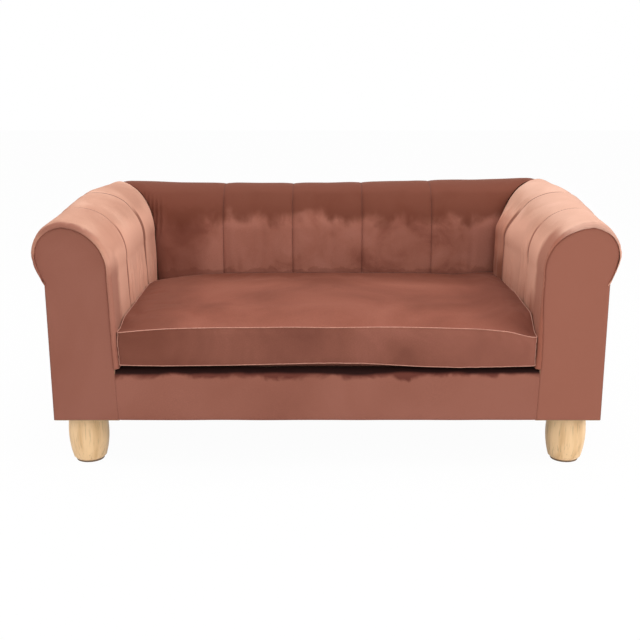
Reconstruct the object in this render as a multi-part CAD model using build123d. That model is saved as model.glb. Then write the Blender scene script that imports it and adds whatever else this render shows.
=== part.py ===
# Dog sofa bed: a low sofa for a pet, with rolled arms, a channelled back,
# a loose boxed cushion and four turned feet.
# Millimetres. X to the right as seen from the front, Y backwards, Z up.
# The origin is on the floor under the middle of the sofa.

import os
from math import cos, radians, sin

from build123d import *

os.makedirs("parts", exist_ok=True)

# Overall size
overall_width = 850.0
overall_depth = 524.0
roll_top_z = 376.0

# Feet
foot_height = 77.0
foot_bottom_radius = 25.0
foot_belly_radius = 30.5
foot_shoulder_radius = 28.5
foot_top_radius = 25.5
foot_belly_z = 46.0
foot_shoulder_z = 72.0
foot_edge_radius = 3.0
foot_inset_x = 56.5
foot_inset_front = 48.0
foot_inset_rear = 66.0
glide_radius = 21.0
glide_thickness = 3.0

# Bolts that hold the feet
bolt_radius = 4.0
bolt_depth_in_foot = 30.0
bolt_tip_reach = 6.0
thread_clearance = 0.05
tee_nut_barrel_radius = 5.5
tee_nut_barrel_length = 9.0
tee_nut_flange_radius = 10.0
tee_nut_flange_thickness = 1.5

# Timber and board
rail_thickness = 18.0
rail_height = 70.0
deck_thickness = 9.0
scroll_board_thickness = 12.0
panel_thickness = 3.0
top_rail_width = 30.0
top_rail_height = 22.0
top_rail_drop = 20.0
corner_block_size = 50.0
corner_block_height = 40.0
corner_post_size = 34.0

# Cloth and padding
velvet = 1.0
lining = 0.8
pad_thickness = 15.0
front_pad_thickness = 4.0
front_pad_top_thickness = 8.0
front_edge_radius = 5.0

# Arm and back upholstery
arm_thickness = 120.0
back_thickness = 147.0
roll_notch_z = 284.0
roll_spring_z = 296.0
roll_widest_z = 326.0
lip_width = 7.0
lip_depth = 6.0
facing_recess = 2.0
channel_dip = 4.5
channel_valley = 26.0
valley_steps = 3
arm_swell_rise = 9.0
back_channel_pitch = 126.0
back_channel_count = 5

# Loose cushion
cushion_seam_height = 66.0
cushion_corner_drop = 9.0
cushion_crown = 14.0
cushion_end_crown = 3.0
cushion_bottom_edge = 8.0
cushion_bottom_tuck = 6.0
cushion_front_bulge = 2.5
cushion_corner_round = 7.0
cushion_gap_to_arms = 0.4
cushion_gap_to_back = 0.6
seam_setback = 1.5

# Zip in the rear boxing
zip_length = 420.0
zip_height_share = 0.5
zip_opening = 12.0
zip_tape_width = 14.0
zip_tape_thickness = 0.6
zip_coil_width = 2.0
zip_coil_thickness = 2.0
zip_coil_gap = 1.0
slider_length = 9.0
slider_plate = 0.8
slider_clearance = 0.2
slider_rim = 1.4
slider_post_length = 2.4
slider_end_margin = 8.0

# Fasteners
screw_head_radius = 4.0
screw_head_height = 2.5
screw_shank_radius = 2.0
screw_length = 28.0
screw_row_offset = 9.0
staple_crown = 10.0
staple_wire = 0.8
staple_leg = 6.0
staples_per_long_side = 6
staples_per_short_side = 3

# Fits between pieces
cloth_gap = 0.3
joint_gap = 0.2
overrun = 5.0

# Shares of a thickness that shape the roll, from the inner face outwards
lean_share = 0.055
crest_share = 0.63
notch_share = 0.846
side_share = 0.867
inner_arc_shares = (0.26, 0.70)
outer_arc_shares = (0.69, 0.29)
under_arc_shares = (0.36, 0.55)

# Shares of an arm's length, from its front board to the back: its seams, and where it is fullest and no longer full
arm_seam_shares = (0.348, 0.757)
arm_full_from_share = 0.66
arm_full_to_share = 0.86
arm_full_end_share = 1.09

# What the fullest roll adds to the shares above
full_crest_share = 0.03
full_arc_shares = (0.09, -0.07)

# Shares that round the barrel of a foot below and above its widest place
foot_swell_shares = (0.68, 0.42)
foot_neck_shares = (0.28, 0.5)

# Levels
wood_bottom_z = foot_height + lining
rail_top_z = wood_bottom_z + rail_height
deck_top_z = rail_top_z + deck_thickness
seat_z = deck_top_z + lining
cushion_bottom_z = seat_z + cloth_gap
panel_top_z = roll_notch_z - cloth_gap
board_top_z = roll_top_z - pad_thickness
top_rail_z = (board_top_z - top_rail_drop - top_rail_height, board_top_z - top_rail_drop)

# Widths, measured from the middle
half_width = overall_width / 2
inner_half = half_width - arm_thickness
side_half = inner_half + side_share * arm_thickness
panel_half = side_half - velvet
wood_half = panel_half - panel_thickness

# Depths
front_y = -overall_depth / 2
rear_y = overall_depth / 2
back_inner_y = rear_y - back_thickness
back_side_y = back_inner_y + side_share * back_thickness
back_panel_y = back_side_y - velvet
wood_rear_y = back_panel_y - panel_thickness
facing_front_y = front_y + facing_recess
facing_board_y = facing_front_y + velvet
wood_front_y = facing_board_y + panel_thickness
board_back_y = wood_front_y + scroll_board_thickness


def save(name, *solids):
    """Write the solids of one node."""
    shape = solids[0] if len(solids) == 1 else Compound(children=list(solids))
    export_step(shape, f"parts/{name}.step")


def save_pair(name, solid):
    """Write a piece of the right arm, and its mirror image on the left arm."""
    save(f"{name}_right", solid)
    save(f"{name}_left", solid.mirror(Plane.YZ))


def block(x_span, y_span, z_span):
    """A square-edged block between the given limits."""
    size = (x_span[1] - x_span[0], y_span[1] - y_span[0], z_span[1] - z_span[0])
    corner = (x_span[0], y_span[0], z_span[0])
    return Solid.make_box(*size, Plane(corner))


def rod(radius, x, y, z_low, z_high):
    """An upright round bar."""
    return Solid.make_cylinder(radius, z_high - z_low, Plane((x, y, z_low)))


def between(start, end, shares):
    """A point part of the way from start to end, with its own share on each axis."""
    return (
        start[0] + (end[0] - start[0]) * shares[0],
        start[1] + (end[1] - start[1]) * shares[1],
    )


def wire_through(place, start, steps):
    """A closed outline: a step of one point is a line, and a step of two is an arc."""
    edges = []
    here = start
    for step in [*steps, (start,)]:
        there = step[-1]
        if len(step) == 1:
            edges.append(Edge.make_line(place(here), place(there)))
        else:
            edges.append(Edge.make_three_point_arc(place(here), place(step[0]), place(there)))
        here = there
    return Wire(edges)


def arm_place(y):
    """Puts an outline across the right arm at this depth."""
    return lambda point: Vector(inner_half + point[0], y, point[1])


def back_place(x):
    """Puts an outline across the back at this width."""
    return lambda point: Vector(x, back_inner_y + point[0], point[1])


def cushion_place(x):
    """Puts an outline across the cushion at this width."""
    return lambda point: Vector(x, point[0], point[1])


def slab(outline_place, start, steps, near, far):
    """A plate with the given outline between two stations."""
    face = Face(wire_through(outline_place(near), start, steps))
    way = outline_place(far)(start) - outline_place(near)(start)
    return Solid.extrude(face, way)


# The roll that the arms and the back share


def inner_face(thickness, z):
    """How far the leaning inner face stands back at this height."""
    return lean_share * thickness * (z - foot_height) / (roll_spring_z - foot_height)


def roll_steps(thickness, inset, notch, full=0.0):
    """From the inner face over the roll to the notch under its outer side."""
    spring = (inner_face(thickness, roll_spring_z) + inset, roll_spring_z)
    crest_place = (crest_share + full * full_crest_share) * thickness
    crest = (crest_place, roll_top_z + full * arm_swell_rise - inset)
    widest = (thickness - inset, roll_widest_z)
    end = (notch, roll_notch_z)
    inner_via = between(spring, crest, inner_arc_shares)
    outer_shares = [share + full * more for share, more in zip(outer_arc_shares, full_arc_shares)]
    outer_via = between(crest, widest, outer_shares)
    under_via = between(widest, end, under_arc_shares)
    return [(spring,), (inner_via, crest), (outer_via, widest), (under_via, end)]


def pad_outline(thickness, inset, full):
    """Outline of the padded side: inner face, roll, and a straight way back inside."""
    notch = notch_share * thickness - inset
    middle = thickness / 2
    base_z = seat_z + cloth_gap
    start = (inner_face(thickness, base_z) + inset, base_z)
    steps = roll_steps(thickness, inset, notch, full)
    return start, [*steps, ((middle, roll_notch_z),), ((middle, base_z),)]


def board_outline(thickness, inset, side, base_z):
    """Outline of a scroll-shaped board, straight on its outer side."""
    start = (inner_face(thickness, base_z) + inset, base_z)
    steps = roll_steps(thickness, inset, side)
    return start, [*steps, ((side, base_z),)]


def panel_outline(thickness):
    """Outline of the thin panel that backs the padding of the inner face."""
    near = pad_thickness + joint_gap
    far = near + panel_thickness
    low = inner_face(thickness, deck_top_z)
    high = inner_face(thickness, roll_spring_z)
    top = [((high + near, roll_spring_z),), ((high + far, roll_spring_z),)]
    return (low + near, deck_top_z), [*top, ((low + far, deck_top_z),)]


def even(position):
    """The back has the same roll all along."""
    return 0.0


def arm_depth(share):
    """The depth at a share of the arm's length."""
    return wood_front_y + share * (back_inner_y - wood_front_y)


def arm_fullness(y):
    """How much fuller the arm's roll is at this depth, from 0 at its ends to 1."""
    share = (y - wood_front_y) / (back_inner_y - wood_front_y)
    rising = share / arm_full_from_share
    falling = (arm_full_end_share - share) / (arm_full_end_share - arm_full_to_share)
    return max(0.0, min(rising, 1.0, falling))


def pad_loft(place, thickness, inset, stations, fullness_at=even):
    """The padded side through stations of a position and how far it is drawn in there."""
    wires = []
    for position, drawn_in in stations:
        start, steps = pad_outline(thickness, inset + drawn_in, fullness_at(position))
        wires.append(wire_through(place(position), start, steps))
    return Solid.make_loft(wires, ruled=True)


def channel_stations(seams):
    """Stations of the sewn valleys between channels, deepest at the seam."""
    stations = []
    for seam in seams:
        for step in range(-valley_steps, valley_steps + 1):
            away = step / valley_steps
            stations.append((seam + away * channel_valley, channel_dip * (1 - abs(away)) ** 2))
    return stations


arm_seams = [arm_depth(share) for share in arm_seam_shares]
first_back_seam = -back_channel_pitch * (back_channel_count - 2) / 2
back_seams = [first_back_seam + back_channel_pitch * n for n in range(back_channel_count - 1)]
beyond_x = half_width + overrun
beyond_y = rear_y + overrun

lip_steps = 4
lip_stations = []
for step in range(lip_steps + 1):
    lip_turn = 90 * step / lip_steps
    lip_y = front_y + lip_depth * (1 - cos(radians(lip_turn)))
    lip_stations.append((lip_y, lip_width * (1 - sin(radians(lip_turn)))))

arm_bends = [arm_depth(share) for share in (arm_full_from_share, arm_full_to_share, arm_full_end_share)]
arm_stations = sorted([*channel_stations(arm_seams), *((bend, 0) for bend in arm_bends), (beyond_y, 0)])
arm_cover_stations = [*lip_stations, *arm_stations]
arm_inner_stations = [(wood_front_y, 0), *arm_stations]
back_stations = [(-beyond_x, 0), *channel_stations(back_seams), (beyond_x, 0)]


# Corner where an arm meets the back: the seam runs from the inner to the outer corner

seam_low = (inner_half - arm_thickness, back_inner_y - back_thickness)
seam_high = (half_width + arm_thickness, rear_y + back_thickness)
ahead_y = front_y - overrun
tall = roll_top_z + arm_swell_rise + overrun


def upright(points):
    """An upright prism on the given plan, taller than the sofa."""
    plan = Wire.make_polygon([Vector(x, y, 0) for x, y in points])
    return Solid.extrude(Face(plan), Vector(0, 0, tall))


def flipped(point):
    """The same point on the other side of the middle."""
    return (-point[0], point[1])


arm_region = upright([seam_low, (seam_low[0], ahead_y), (seam_high[0], ahead_y), seam_high])
back_region = upright([flipped(seam_low), seam_low, seam_high, flipped(seam_high)])


def largest(shape):
    """The biggest solid of a shape."""
    return max(shape.solids(), key=lambda solid: solid.volume)


def only(shape):
    """The solid of a shape that holds one."""
    solids = shape.solids()
    if len(solids) != 1:
        raise ValueError(f"{len(solids)} solids where one was expected")
    return solids[0]


# Arm upholstery

board_side = wood_half - inner_half
stuffing_inset = velvet + cloth_gap
facing_side = panel_half - joint_gap - inner_half
facing_hole_side = facing_side + joint_gap

arm_core_outline = board_outline(arm_thickness, pad_thickness, board_side, wood_bottom_z)
arm_core = slab(arm_place, *arm_core_outline, ahead_y, beyond_y)
facing_outline = board_outline(arm_thickness, lip_width, facing_side, foot_height)
facing_hole_outline = board_outline(arm_thickness, lip_width - cloth_gap, facing_hole_side, foot_height)
facing_hole = slab(arm_place, *facing_hole_outline, ahead_y, wood_front_y)

arm_outside = pad_loft(arm_place, arm_thickness, 0, arm_cover_stations, arm_fullness) & arm_region
arm_lined = pad_loft(arm_place, arm_thickness, velvet, arm_inner_stations, arm_fullness)
arm_stuffed = pad_loft(arm_place, arm_thickness, stuffing_inset, arm_inner_stations, arm_fullness) & arm_region

save_pair("arm_cover", largest(arm_outside - arm_lined - facing_hole - arm_core))
save_pair("arm_foam", largest(arm_stuffed - arm_core))

facing_cover = slab(arm_place, *facing_outline, facing_front_y, facing_board_y)
facing_board = slab(arm_place, *facing_outline, facing_board_y, wood_front_y)
save_pair("arm_facing_cover", facing_cover)
save_pair("arm_facing_board", facing_board)


# Arm frame

board_inset = pad_thickness + joint_gap


def scroll_board(place, thickness, side, base_z, near, far):
    """A scroll-shaped board that carries the padding."""
    return slab(place, *board_outline(thickness, board_inset, side, base_z), near, far)


def centred(middle, width):
    """The limits of a width about its middle."""
    return (middle - width / 2, middle + width / 2)


arm_top_rail_x = centred(inner_half + crest_share * arm_thickness, top_rail_width)
arm_rear_board_y = (back_inner_y - scroll_board_thickness, back_inner_y)
arm_bay_y = (board_back_y, arm_rear_board_y[0])

save_pair(
    "arm_front_board",
    scroll_board(arm_place, arm_thickness, board_side, wood_bottom_z, wood_front_y, board_back_y),
)
save_pair(
    "arm_rear_board",
    scroll_board(arm_place, arm_thickness, board_side, deck_top_z, *arm_rear_board_y),
)
save_pair("arm_top_rail", block(arm_top_rail_x, arm_bay_y, top_rail_z))
save_pair("arm_inner_panel", slab(arm_place, *panel_outline(arm_thickness), *arm_bay_y))

arm_outer_panel_y = (wood_front_y, back_panel_y)
arm_outer_cover_y = (facing_front_y, back_side_y)
save_pair(
    "arm_outer_panel",
    block((wood_half, panel_half), arm_outer_panel_y, (wood_bottom_z, panel_top_z)),
)
save_pair(
    "arm_outer_cover",
    block((panel_half, side_half), arm_outer_cover_y, (foot_height, panel_top_z)),
)


# Back upholstery

back_core_side = wood_rear_y - back_inner_y
back_core_outline = board_outline(back_thickness, pad_thickness, back_core_side, wood_bottom_z)
back_core = slab(back_place, *back_core_outline, -beyond_x, beyond_x)

back_outside = pad_loft(back_place, back_thickness, 0, back_stations) & back_region
back_lined = pad_loft(back_place, back_thickness, velvet, back_stations)
back_stuffed = pad_loft(back_place, back_thickness, stuffing_inset, back_stations) & back_region

save("back_cover", largest(back_outside - back_lined - back_core))
save("back_foam", largest(back_stuffed - back_core))


# Back frame

back_rib_x = inner_half - scroll_board_thickness
back_rib_names = ("back_rib_left", "back_rib_middle", "back_rib_right")
back_rib_places = (-back_rib_x, 0, back_rib_x)
back_top_rail_y = centred(back_inner_y + crest_share * back_thickness, top_rail_width)
corner_post_x = centred(inner_half + crest_share * arm_thickness, corner_post_size)
corner_post_y = centred(back_inner_y + crest_share * back_thickness, corner_post_size)

back_top_rail = block((-corner_post_x[0], corner_post_x[0]), back_top_rail_y, top_rail_z)
back_inner_panel = slab(back_place, *panel_outline(back_thickness), -inner_half, inner_half)
save("back_top_rail", back_top_rail)
save("back_inner_panel", back_inner_panel)

for rib_name, rib_place in zip(back_rib_names, back_rib_places):
    rib_span = centred(rib_place, scroll_board_thickness)
    rib = scroll_board(back_place, back_thickness, back_core_side, deck_top_z, *rib_span)
    save(rib_name, largest(rib - back_top_rail - back_inner_panel))

save_pair("corner_post", block(corner_post_x, corner_post_y, (deck_top_z, top_rail_z[1])))
save(
    "back_outer_panel",
    block((-wood_half, wood_half), (wood_rear_y, back_panel_y), (wood_bottom_z, panel_top_z)),
)
save(
    "back_outer_cover",
    block((-panel_half, panel_half), (back_panel_y, back_side_y), (foot_height, panel_top_z)),
)


# Base frame

foot_x = half_width - foot_inset_x
foot_front_y = front_y + foot_inset_front
foot_rear_y = rear_y - foot_inset_rear
feet = {
    "front_left": (-foot_x, foot_front_y),
    "front_right": (foot_x, foot_front_y),
    "rear_left": (-foot_x, foot_rear_y),
    "rear_right": (foot_x, foot_rear_y),
}
rail_z = (wood_bottom_z, rail_top_z)
front_rail_half = inner_half + board_inset - joint_gap
front_rail_y = (wood_front_y, wood_front_y + rail_thickness)
back_rail_y = (wood_rear_y - rail_thickness, wood_rear_y)
side_rail_y = (board_back_y, back_rail_y[0])
side_rail_x = (wood_half - rail_thickness, wood_half)
deck_y = (board_back_y, wood_rear_y)
block_z = (wood_bottom_z, wood_bottom_z + corner_block_height)


def bolt_holes(radius, z_span):
    """Round holes on the axes of the four feet."""
    return [rod(radius, x, y, z_span[0] - overrun, z_span[1] + overrun) for x, y in feet.values()]


def corner_block_at(x, y):
    """A glue block in one corner of the base, between the rails and round the bolt."""
    side = 1 if x > 0 else -1
    rail_face = side * side_rail_x[0]
    inner = rail_face - side * corner_block_size
    x_span = (min(rail_face, inner), max(rail_face, inner))
    y_span = (board_back_y, y + corner_block_size / 2)
    if y > 0:
        y_span = (y - corner_block_size / 2, back_rail_y[0])
    return block(x_span, y_span, block_z)


block_bore_radius = tee_nut_barrel_radius + joint_gap
corner_blocks = [corner_block_at(x, y) for x, y in feet.values()]
for hole in bolt_holes(block_bore_radius, block_z):
    corner_blocks = [largest(corner - hole) for corner in corner_blocks]


# Screws that hold the deck to the rails, in rows over the side rails

screw_x = wood_half - screw_row_offset
screw_y_steps = 4
screw_spread = (deck_y[1] - deck_y[0]) / screw_y_steps
screw_places = []
for number in range(screw_y_steps):
    for side in (-1, 1):
        screw_places.append((side * screw_x, deck_y[0] + screw_spread * (number + 1 / 2)))


def deck_screw(x, y, extra):
    """A countersunk screw, larger by the extra for the hole it makes."""
    head_z = (deck_top_z - screw_head_height, deck_top_z)
    profile = Wire.make_polygon(
        [
            Vector(0, 0, deck_top_z - screw_length - extra),
            Vector(screw_shank_radius + extra, 0, deck_top_z - screw_length - extra),
            Vector(screw_shank_radius + extra, 0, head_z[0]),
            Vector(screw_head_radius + extra, 0, head_z[1]),
            Vector(0, 0, head_z[1]),
        ]
    )
    return Solid.revolve(Face(profile), 360, Axis.Z).moved(Location((x, y, 0)))


screws = [deck_screw(x, y, 0) for x, y in screw_places]
screw_holes = [deck_screw(x, y, thread_clearance) for x, y in screw_places]

# Staples that hold the dust cover to the rails, crown outside and legs in the wood

side_staple_x = wood_half - rail_thickness / 2
staple_row_y = (wood_front_y + rail_thickness / 2, wood_rear_y - rail_thickness / 2)
long_step = 2 * inner_half / staples_per_long_side
short_step = (side_rail_y[1] - side_rail_y[0]) / staples_per_short_side
staple_places = []
for row_y in staple_row_y:
    for number in range(staples_per_long_side):
        staple_places.append((-inner_half + long_step * (number + 1 / 2), row_y, True))
for side in (-1, 1):
    for number in range(staples_per_short_side):
        along = side_rail_y[0] + short_step * (number + 1 / 2)
        staple_places.append((side * side_staple_x, along, False))


def staple(x, y, along_x):
    """A wire staple with its crown against the dust cover."""
    half = staple_crown / 2
    crown_z = (foot_height - staple_wire, foot_height)
    leg_z = (foot_height - staple_wire, wood_bottom_z + staple_leg)
    long_span = (-half, half)
    wire_span = centred(0, staple_wire)
    crown = block(long_span, wire_span, crown_z)
    for leg_x in ((-half, -half + staple_wire), (half - staple_wire, half)):
        crown = crown + block(leg_x, wire_span, leg_z)
    turned = crown if along_x else crown.rotate(Axis.Z, 90)
    return only(turned).moved(Location((x, y, 0)))


staples = [staple(*place) for place in staple_places]


def drilled(solid, tools):
    """The solid with room for the tools."""
    for tool in tools:
        solid = solid - tool
    return largest(solid)


save("front_rail", drilled(block((-front_rail_half, front_rail_half), front_rail_y, rail_z), staples))
save("back_rail", drilled(block((-wood_half, wood_half), back_rail_y, rail_z), staples))
side_rail = block(side_rail_x, side_rail_y, rail_z)
for side_name, turned_rail in (("right", side_rail), ("left", side_rail.mirror(Plane.YZ))):
    save(f"side_rail_{side_name}", drilled(turned_rail, [*staples, *screw_holes]))
save("corner_blocks", *corner_blocks)

deck = block((-wood_half, wood_half), deck_y, (rail_top_z, deck_top_z))
save("seat_deck", drilled(deck, screw_holes))
save("deck_screws", *screws)
deck_cloth_half = inner_half + board_inset - joint_gap
deck_cloth_y = (deck_y[0], back_inner_y + board_inset - joint_gap)
save("deck_cloth", block((-deck_cloth_half, deck_cloth_half), deck_cloth_y, (deck_top_z, seat_z)))

dust_z = (foot_height, wood_bottom_z)
dust_holes = bolt_holes(bolt_radius + thread_clearance, dust_z)
dust_cover = block((-wood_half, wood_half), (wood_front_y, wood_rear_y), dust_z)
save("dust_cover", drilled(dust_cover, [*staples, *dust_holes]))
save("dust_cover_staples", *staples)


# Padded front rail between the arms

front_pad_half = inner_half + lip_width - joint_gap
front_cover_front_y = facing_front_y
front_foam_front_y = front_cover_front_y + velvet
front_pad_rear_y = deck_y[0]
front_cover_top_z = seat_z
front_foam_top_z = front_cover_top_z - velvet


def front_pad_block(front, top, base_z, radius):
    """The band over the front rail, with its upper front edge rounded."""
    band = block((-front_pad_half, front_pad_half), (front, front_pad_rear_y), (base_z, top))
    edge = band.edges().filter_by(Axis.X).group_by(Axis.Z)[-1].sort_by(Axis.Y)[0]
    return band.fillet(radius, [edge])


front_bare = block((-beyond_x, beyond_x), (wood_front_y, beyond_y), (0, rail_top_z))
front_stuffing = front_pad_block(front_foam_front_y, front_foam_top_z, 0, front_edge_radius - velvet)
front_band = front_pad_block(front_cover_front_y, front_cover_top_z, foot_height, front_edge_radius)
front_foam_floor = block((-beyond_x, beyond_x), (ahead_y, beyond_y), (0, wood_bottom_z))
save("front_rail_cover", largest(front_band - front_stuffing))
save("front_rail_foam", largest(front_stuffing - front_bare - front_foam_floor))


# Turned feet with their bolts, nuts and glides


def foot_profile():
    """Half of the barrel shape, from the glide up to the top."""
    low = glide_thickness
    points = [
        (0, low),
        (foot_bottom_radius - foot_edge_radius, low),
        (foot_bottom_radius, low + foot_edge_radius),
        (foot_belly_radius, foot_belly_z),
        (foot_shoulder_radius, foot_shoulder_z),
        (foot_top_radius, foot_height),
        (0, foot_height),
    ]
    base, flat, edge, belly, shoulder, top, centre = points
    swell_via = between(edge, belly, foot_swell_shares)
    neck_via = between(belly, shoulder, foot_neck_shares)
    return wire_through(
        lambda point: Vector(point[0], 0, point[1]),
        base,
        [
            (flat,),
            (edge,),
            (swell_via, belly),
            (neck_via, shoulder),
            (top,),
            (centre,),
        ],
    )


bolt_low_z = foot_height - bolt_depth_in_foot
bolt_high_z = block_z[1] + bolt_tip_reach
nut_barrel_z = (block_z[1] - tee_nut_barrel_length, block_z[1])
nut_flange_z = (block_z[1], block_z[1] + tee_nut_flange_thickness)
foot_blank = Solid.revolve(Face(foot_profile()), 360, Axis.Z)
foot_hole = rod(bolt_radius + thread_clearance, 0, 0, bolt_low_z, foot_height + overrun)
turned_foot = largest(foot_blank - foot_hole)
foot_bolt = rod(bolt_radius, 0, 0, bolt_low_z, bolt_high_z)
nut_bore = rod(bolt_radius + thread_clearance, 0, 0, 0, bolt_high_z + overrun)
nut_barrel = rod(tee_nut_barrel_radius, 0, 0, *nut_barrel_z)
tee_nut = largest(nut_barrel + rod(tee_nut_flange_radius, 0, 0, *nut_flange_z) - nut_bore)
glide = rod(glide_radius, 0, 0, 0, glide_thickness)


def at_feet(solid):
    """A copy of the solid on the axis of each foot."""
    return [solid.moved(Location((x, y, 0))) for x, y in feet.values()]


for foot_name, foot_solid in zip(feet, at_feet(turned_foot)):
    save(f"foot_{foot_name}", foot_solid)
save("foot_bolts", *at_feet(foot_bolt))
save("foot_tee_nuts", *at_feet(tee_nut))
save("foot_glides", *at_feet(glide))


# Loose cushion: crowned top, boxing that bulges at the front, lower at its corners

cushion_half = inner_half + inner_face(arm_thickness, cushion_bottom_z) - cushion_gap_to_arms
cushion_front_y = front_y + cushion_front_bulge
cushion_rear_y = back_inner_y + inner_face(back_thickness, cushion_bottom_z) - cushion_gap_to_back
cushion_edge_z = cushion_bottom_z + cushion_bottom_edge
cushion_place_shares = (0, 0.005, 0.012, 0.024, 0.07, 0.16, 0.33, 0.6)


def fullness(x):
    """How full the cushion is at this width: nothing at its ends, one in its middle."""
    return 1 - (abs(x) / cushion_half) ** 4


def seam_z(x, inset):
    """Height of the top seam at this width."""
    full_z = cushion_bottom_z + cushion_seam_height - inset
    return full_z - cushion_corner_drop * (1 - fullness(x))


def cushion_xs(half):
    """Widths at which the cushion gets a section, closer together near its ends."""
    right = [half * (1 - share) for share in cushion_place_shares]
    return [*[-x for x in right], 0, *reversed(right)]


def cushion_outline(x, inset):
    """Outline of the cushion from front to back at this width, drawn in by the inset."""
    radius = cushion_corner_round - inset
    past_round = min(radius, cushion_half - inset - abs(x))
    corner = radius - (radius**2 - (radius - past_round) ** 2) ** 0.5
    front = cushion_front_y + inset + corner
    rear = cushion_rear_y - inset - corner
    low = cushion_bottom_z + inset
    seam = seam_z(x, inset)
    bulge = cushion_front_bulge * (1 + fullness(x)) / 2
    crown = cushion_end_crown + (cushion_crown - cushion_end_crown) * fullness(x)
    bulge_via = (front - bulge, (cushion_edge_z + seam) / 2)
    crown_via = ((front + rear) / 2, seam + crown)
    return (front + cushion_bottom_tuck, low), [
        ((front, cushion_edge_z),),
        (bulge_via, (front, seam)),
        (crown_via, (rear, seam)),
        ((rear, cushion_edge_z),),
        ((rear - cushion_bottom_tuck, low),),
    ]


def cushion_loft(inset):
    """The cushion's whole shape, drawn in by the inset."""
    wires = []
    for x in cushion_xs(cushion_half - inset):
        wires.append(wire_through(cushion_place(x), *cushion_outline(x, inset)))
    return Solid.make_loft(wires, ruled=True)


def above_seam():
    """Everything above a line just under the top seam."""
    wires = []
    for x in cushion_xs(cushion_half + overrun):
        low = seam_z(min(abs(x), cushion_half), seam_setback)
        corners = [(ahead_y, low), (beyond_y, low), (beyond_y, roll_top_z), (ahead_y, roll_top_z)]
        wires.append(Wire.make_polygon([Vector(x, *corner) for corner in corners]))
    return Solid.make_loft(wires, ruled=True)


zip_z = cushion_bottom_z + zip_height_share * cushion_seam_height
zip_y = cushion_rear_y - velvet - cloth_gap - zip_tape_thickness / 2
zip_half = zip_length / 2
slider_half_depth = zip_coil_thickness / 2 + slider_clearance + slider_plate
zip_reach = zip_coil_gap / 2 + zip_tape_width
zip_window = block((-zip_half, zip_half), (zip_y, beyond_y), centred(zip_z, zip_opening))
zip_pocket = block(
    (-zip_half - joint_gap, zip_half + joint_gap),
    (zip_y - slider_half_depth - cloth_gap, beyond_y),
    (zip_z - zip_reach - joint_gap, zip_z + zip_reach + joint_gap),
)
bottom_slab = block((-beyond_x, beyond_x), (ahead_y, beyond_y), (0, cushion_edge_z))

cushion_skin = cushion_loft(0) - cushion_loft(velvet)
top_cut = above_seam()
save("cushion_foam", largest(cushion_loft(stuffing_inset) - zip_pocket))
save("cushion_top", largest(cushion_skin & top_cut))
save("cushion_bottom", largest(cushion_skin & bottom_slab))
save("cushion_boxing", largest(cushion_skin - top_cut - bottom_slab - zip_window))


# Zip: two tapes with a nylon coil each, and a slider that runs between them


def zip_tape(side):
    """One tape with its coil, above or below the middle of the zip."""
    near = zip_z + side * zip_coil_gap / 2
    tape_end = zip_z + side * zip_reach
    coil_end = near + side * zip_coil_width
    x_span = (-zip_half, zip_half)
    tape = block(x_span, centred(zip_y, zip_tape_thickness), sorted((near, tape_end)))
    coil = block(x_span, centred(zip_y, zip_coil_thickness), sorted((near, coil_end)))
    return only(tape + coil)


slider_x = zip_half - slider_end_margin - slider_length / 2
slider_span = centred(slider_x, slider_length)
through_span = centred(slider_x, slider_length + overrun)
coil_reach = zip_coil_gap / 2 + zip_coil_width + slider_clearance
coil_room = zip_coil_thickness + 2 * slider_clearance
tape_room = zip_tape_thickness + 2 * slider_clearance
slider_height = 2 * (coil_reach + slider_rim)
slider_body = block(slider_span, centred(zip_y, 2 * slider_half_depth), centred(zip_z, slider_height))
slider_channel = block(through_span, centred(zip_y, coil_room), centred(zip_z, 2 * coil_reach))
slider_slot = block(through_span, centred(zip_y, tape_room), centred(zip_z, slider_height + overrun))
post_width = zip_coil_gap - 2 * slider_clearance
slider_post = block(
    centred(slider_x, slider_post_length),
    centred(zip_y, 2 * slider_half_depth),
    centred(zip_z, post_width),
)
save("zip_tapes", zip_tape(1), zip_tape(-1))
save("zip_slider", only(slider_body - slider_channel - slider_slot + slider_post))
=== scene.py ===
# %% [markdown]
# # A velvet sofa bed for a dog
# The sofa was built in CAD first, with its boards, foam and joints. That model comes in here as a fixed frame
# that nothing may move. This lesson dresses it: each soft piece is made again with real cloth shapes, and
# each hard piece gets a proper finish.

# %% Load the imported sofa
import math
import random

import bmesh
import bpy
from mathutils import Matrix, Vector, noise


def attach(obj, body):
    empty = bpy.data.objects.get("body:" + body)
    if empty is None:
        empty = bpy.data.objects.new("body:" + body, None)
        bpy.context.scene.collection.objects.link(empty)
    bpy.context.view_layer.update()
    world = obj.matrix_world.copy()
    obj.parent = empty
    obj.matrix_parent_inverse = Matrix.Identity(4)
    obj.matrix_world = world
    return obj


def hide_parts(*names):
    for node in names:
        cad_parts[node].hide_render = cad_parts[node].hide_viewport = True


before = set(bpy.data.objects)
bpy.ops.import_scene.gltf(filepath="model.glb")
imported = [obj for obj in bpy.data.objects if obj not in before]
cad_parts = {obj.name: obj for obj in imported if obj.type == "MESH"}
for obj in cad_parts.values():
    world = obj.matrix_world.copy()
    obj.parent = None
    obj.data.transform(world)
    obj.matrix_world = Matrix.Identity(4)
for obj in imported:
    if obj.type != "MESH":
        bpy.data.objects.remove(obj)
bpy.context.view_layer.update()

# %% [markdown]
# ## The camera
# A product picture is taken from a low stool, a step back from the sofa and a little above it. The lens and
# the tilt below were worked out from how the arms run together towards the back. A longer lens from further
# away would flatten the seat, and a shorter one would spread the front feet.

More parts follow.
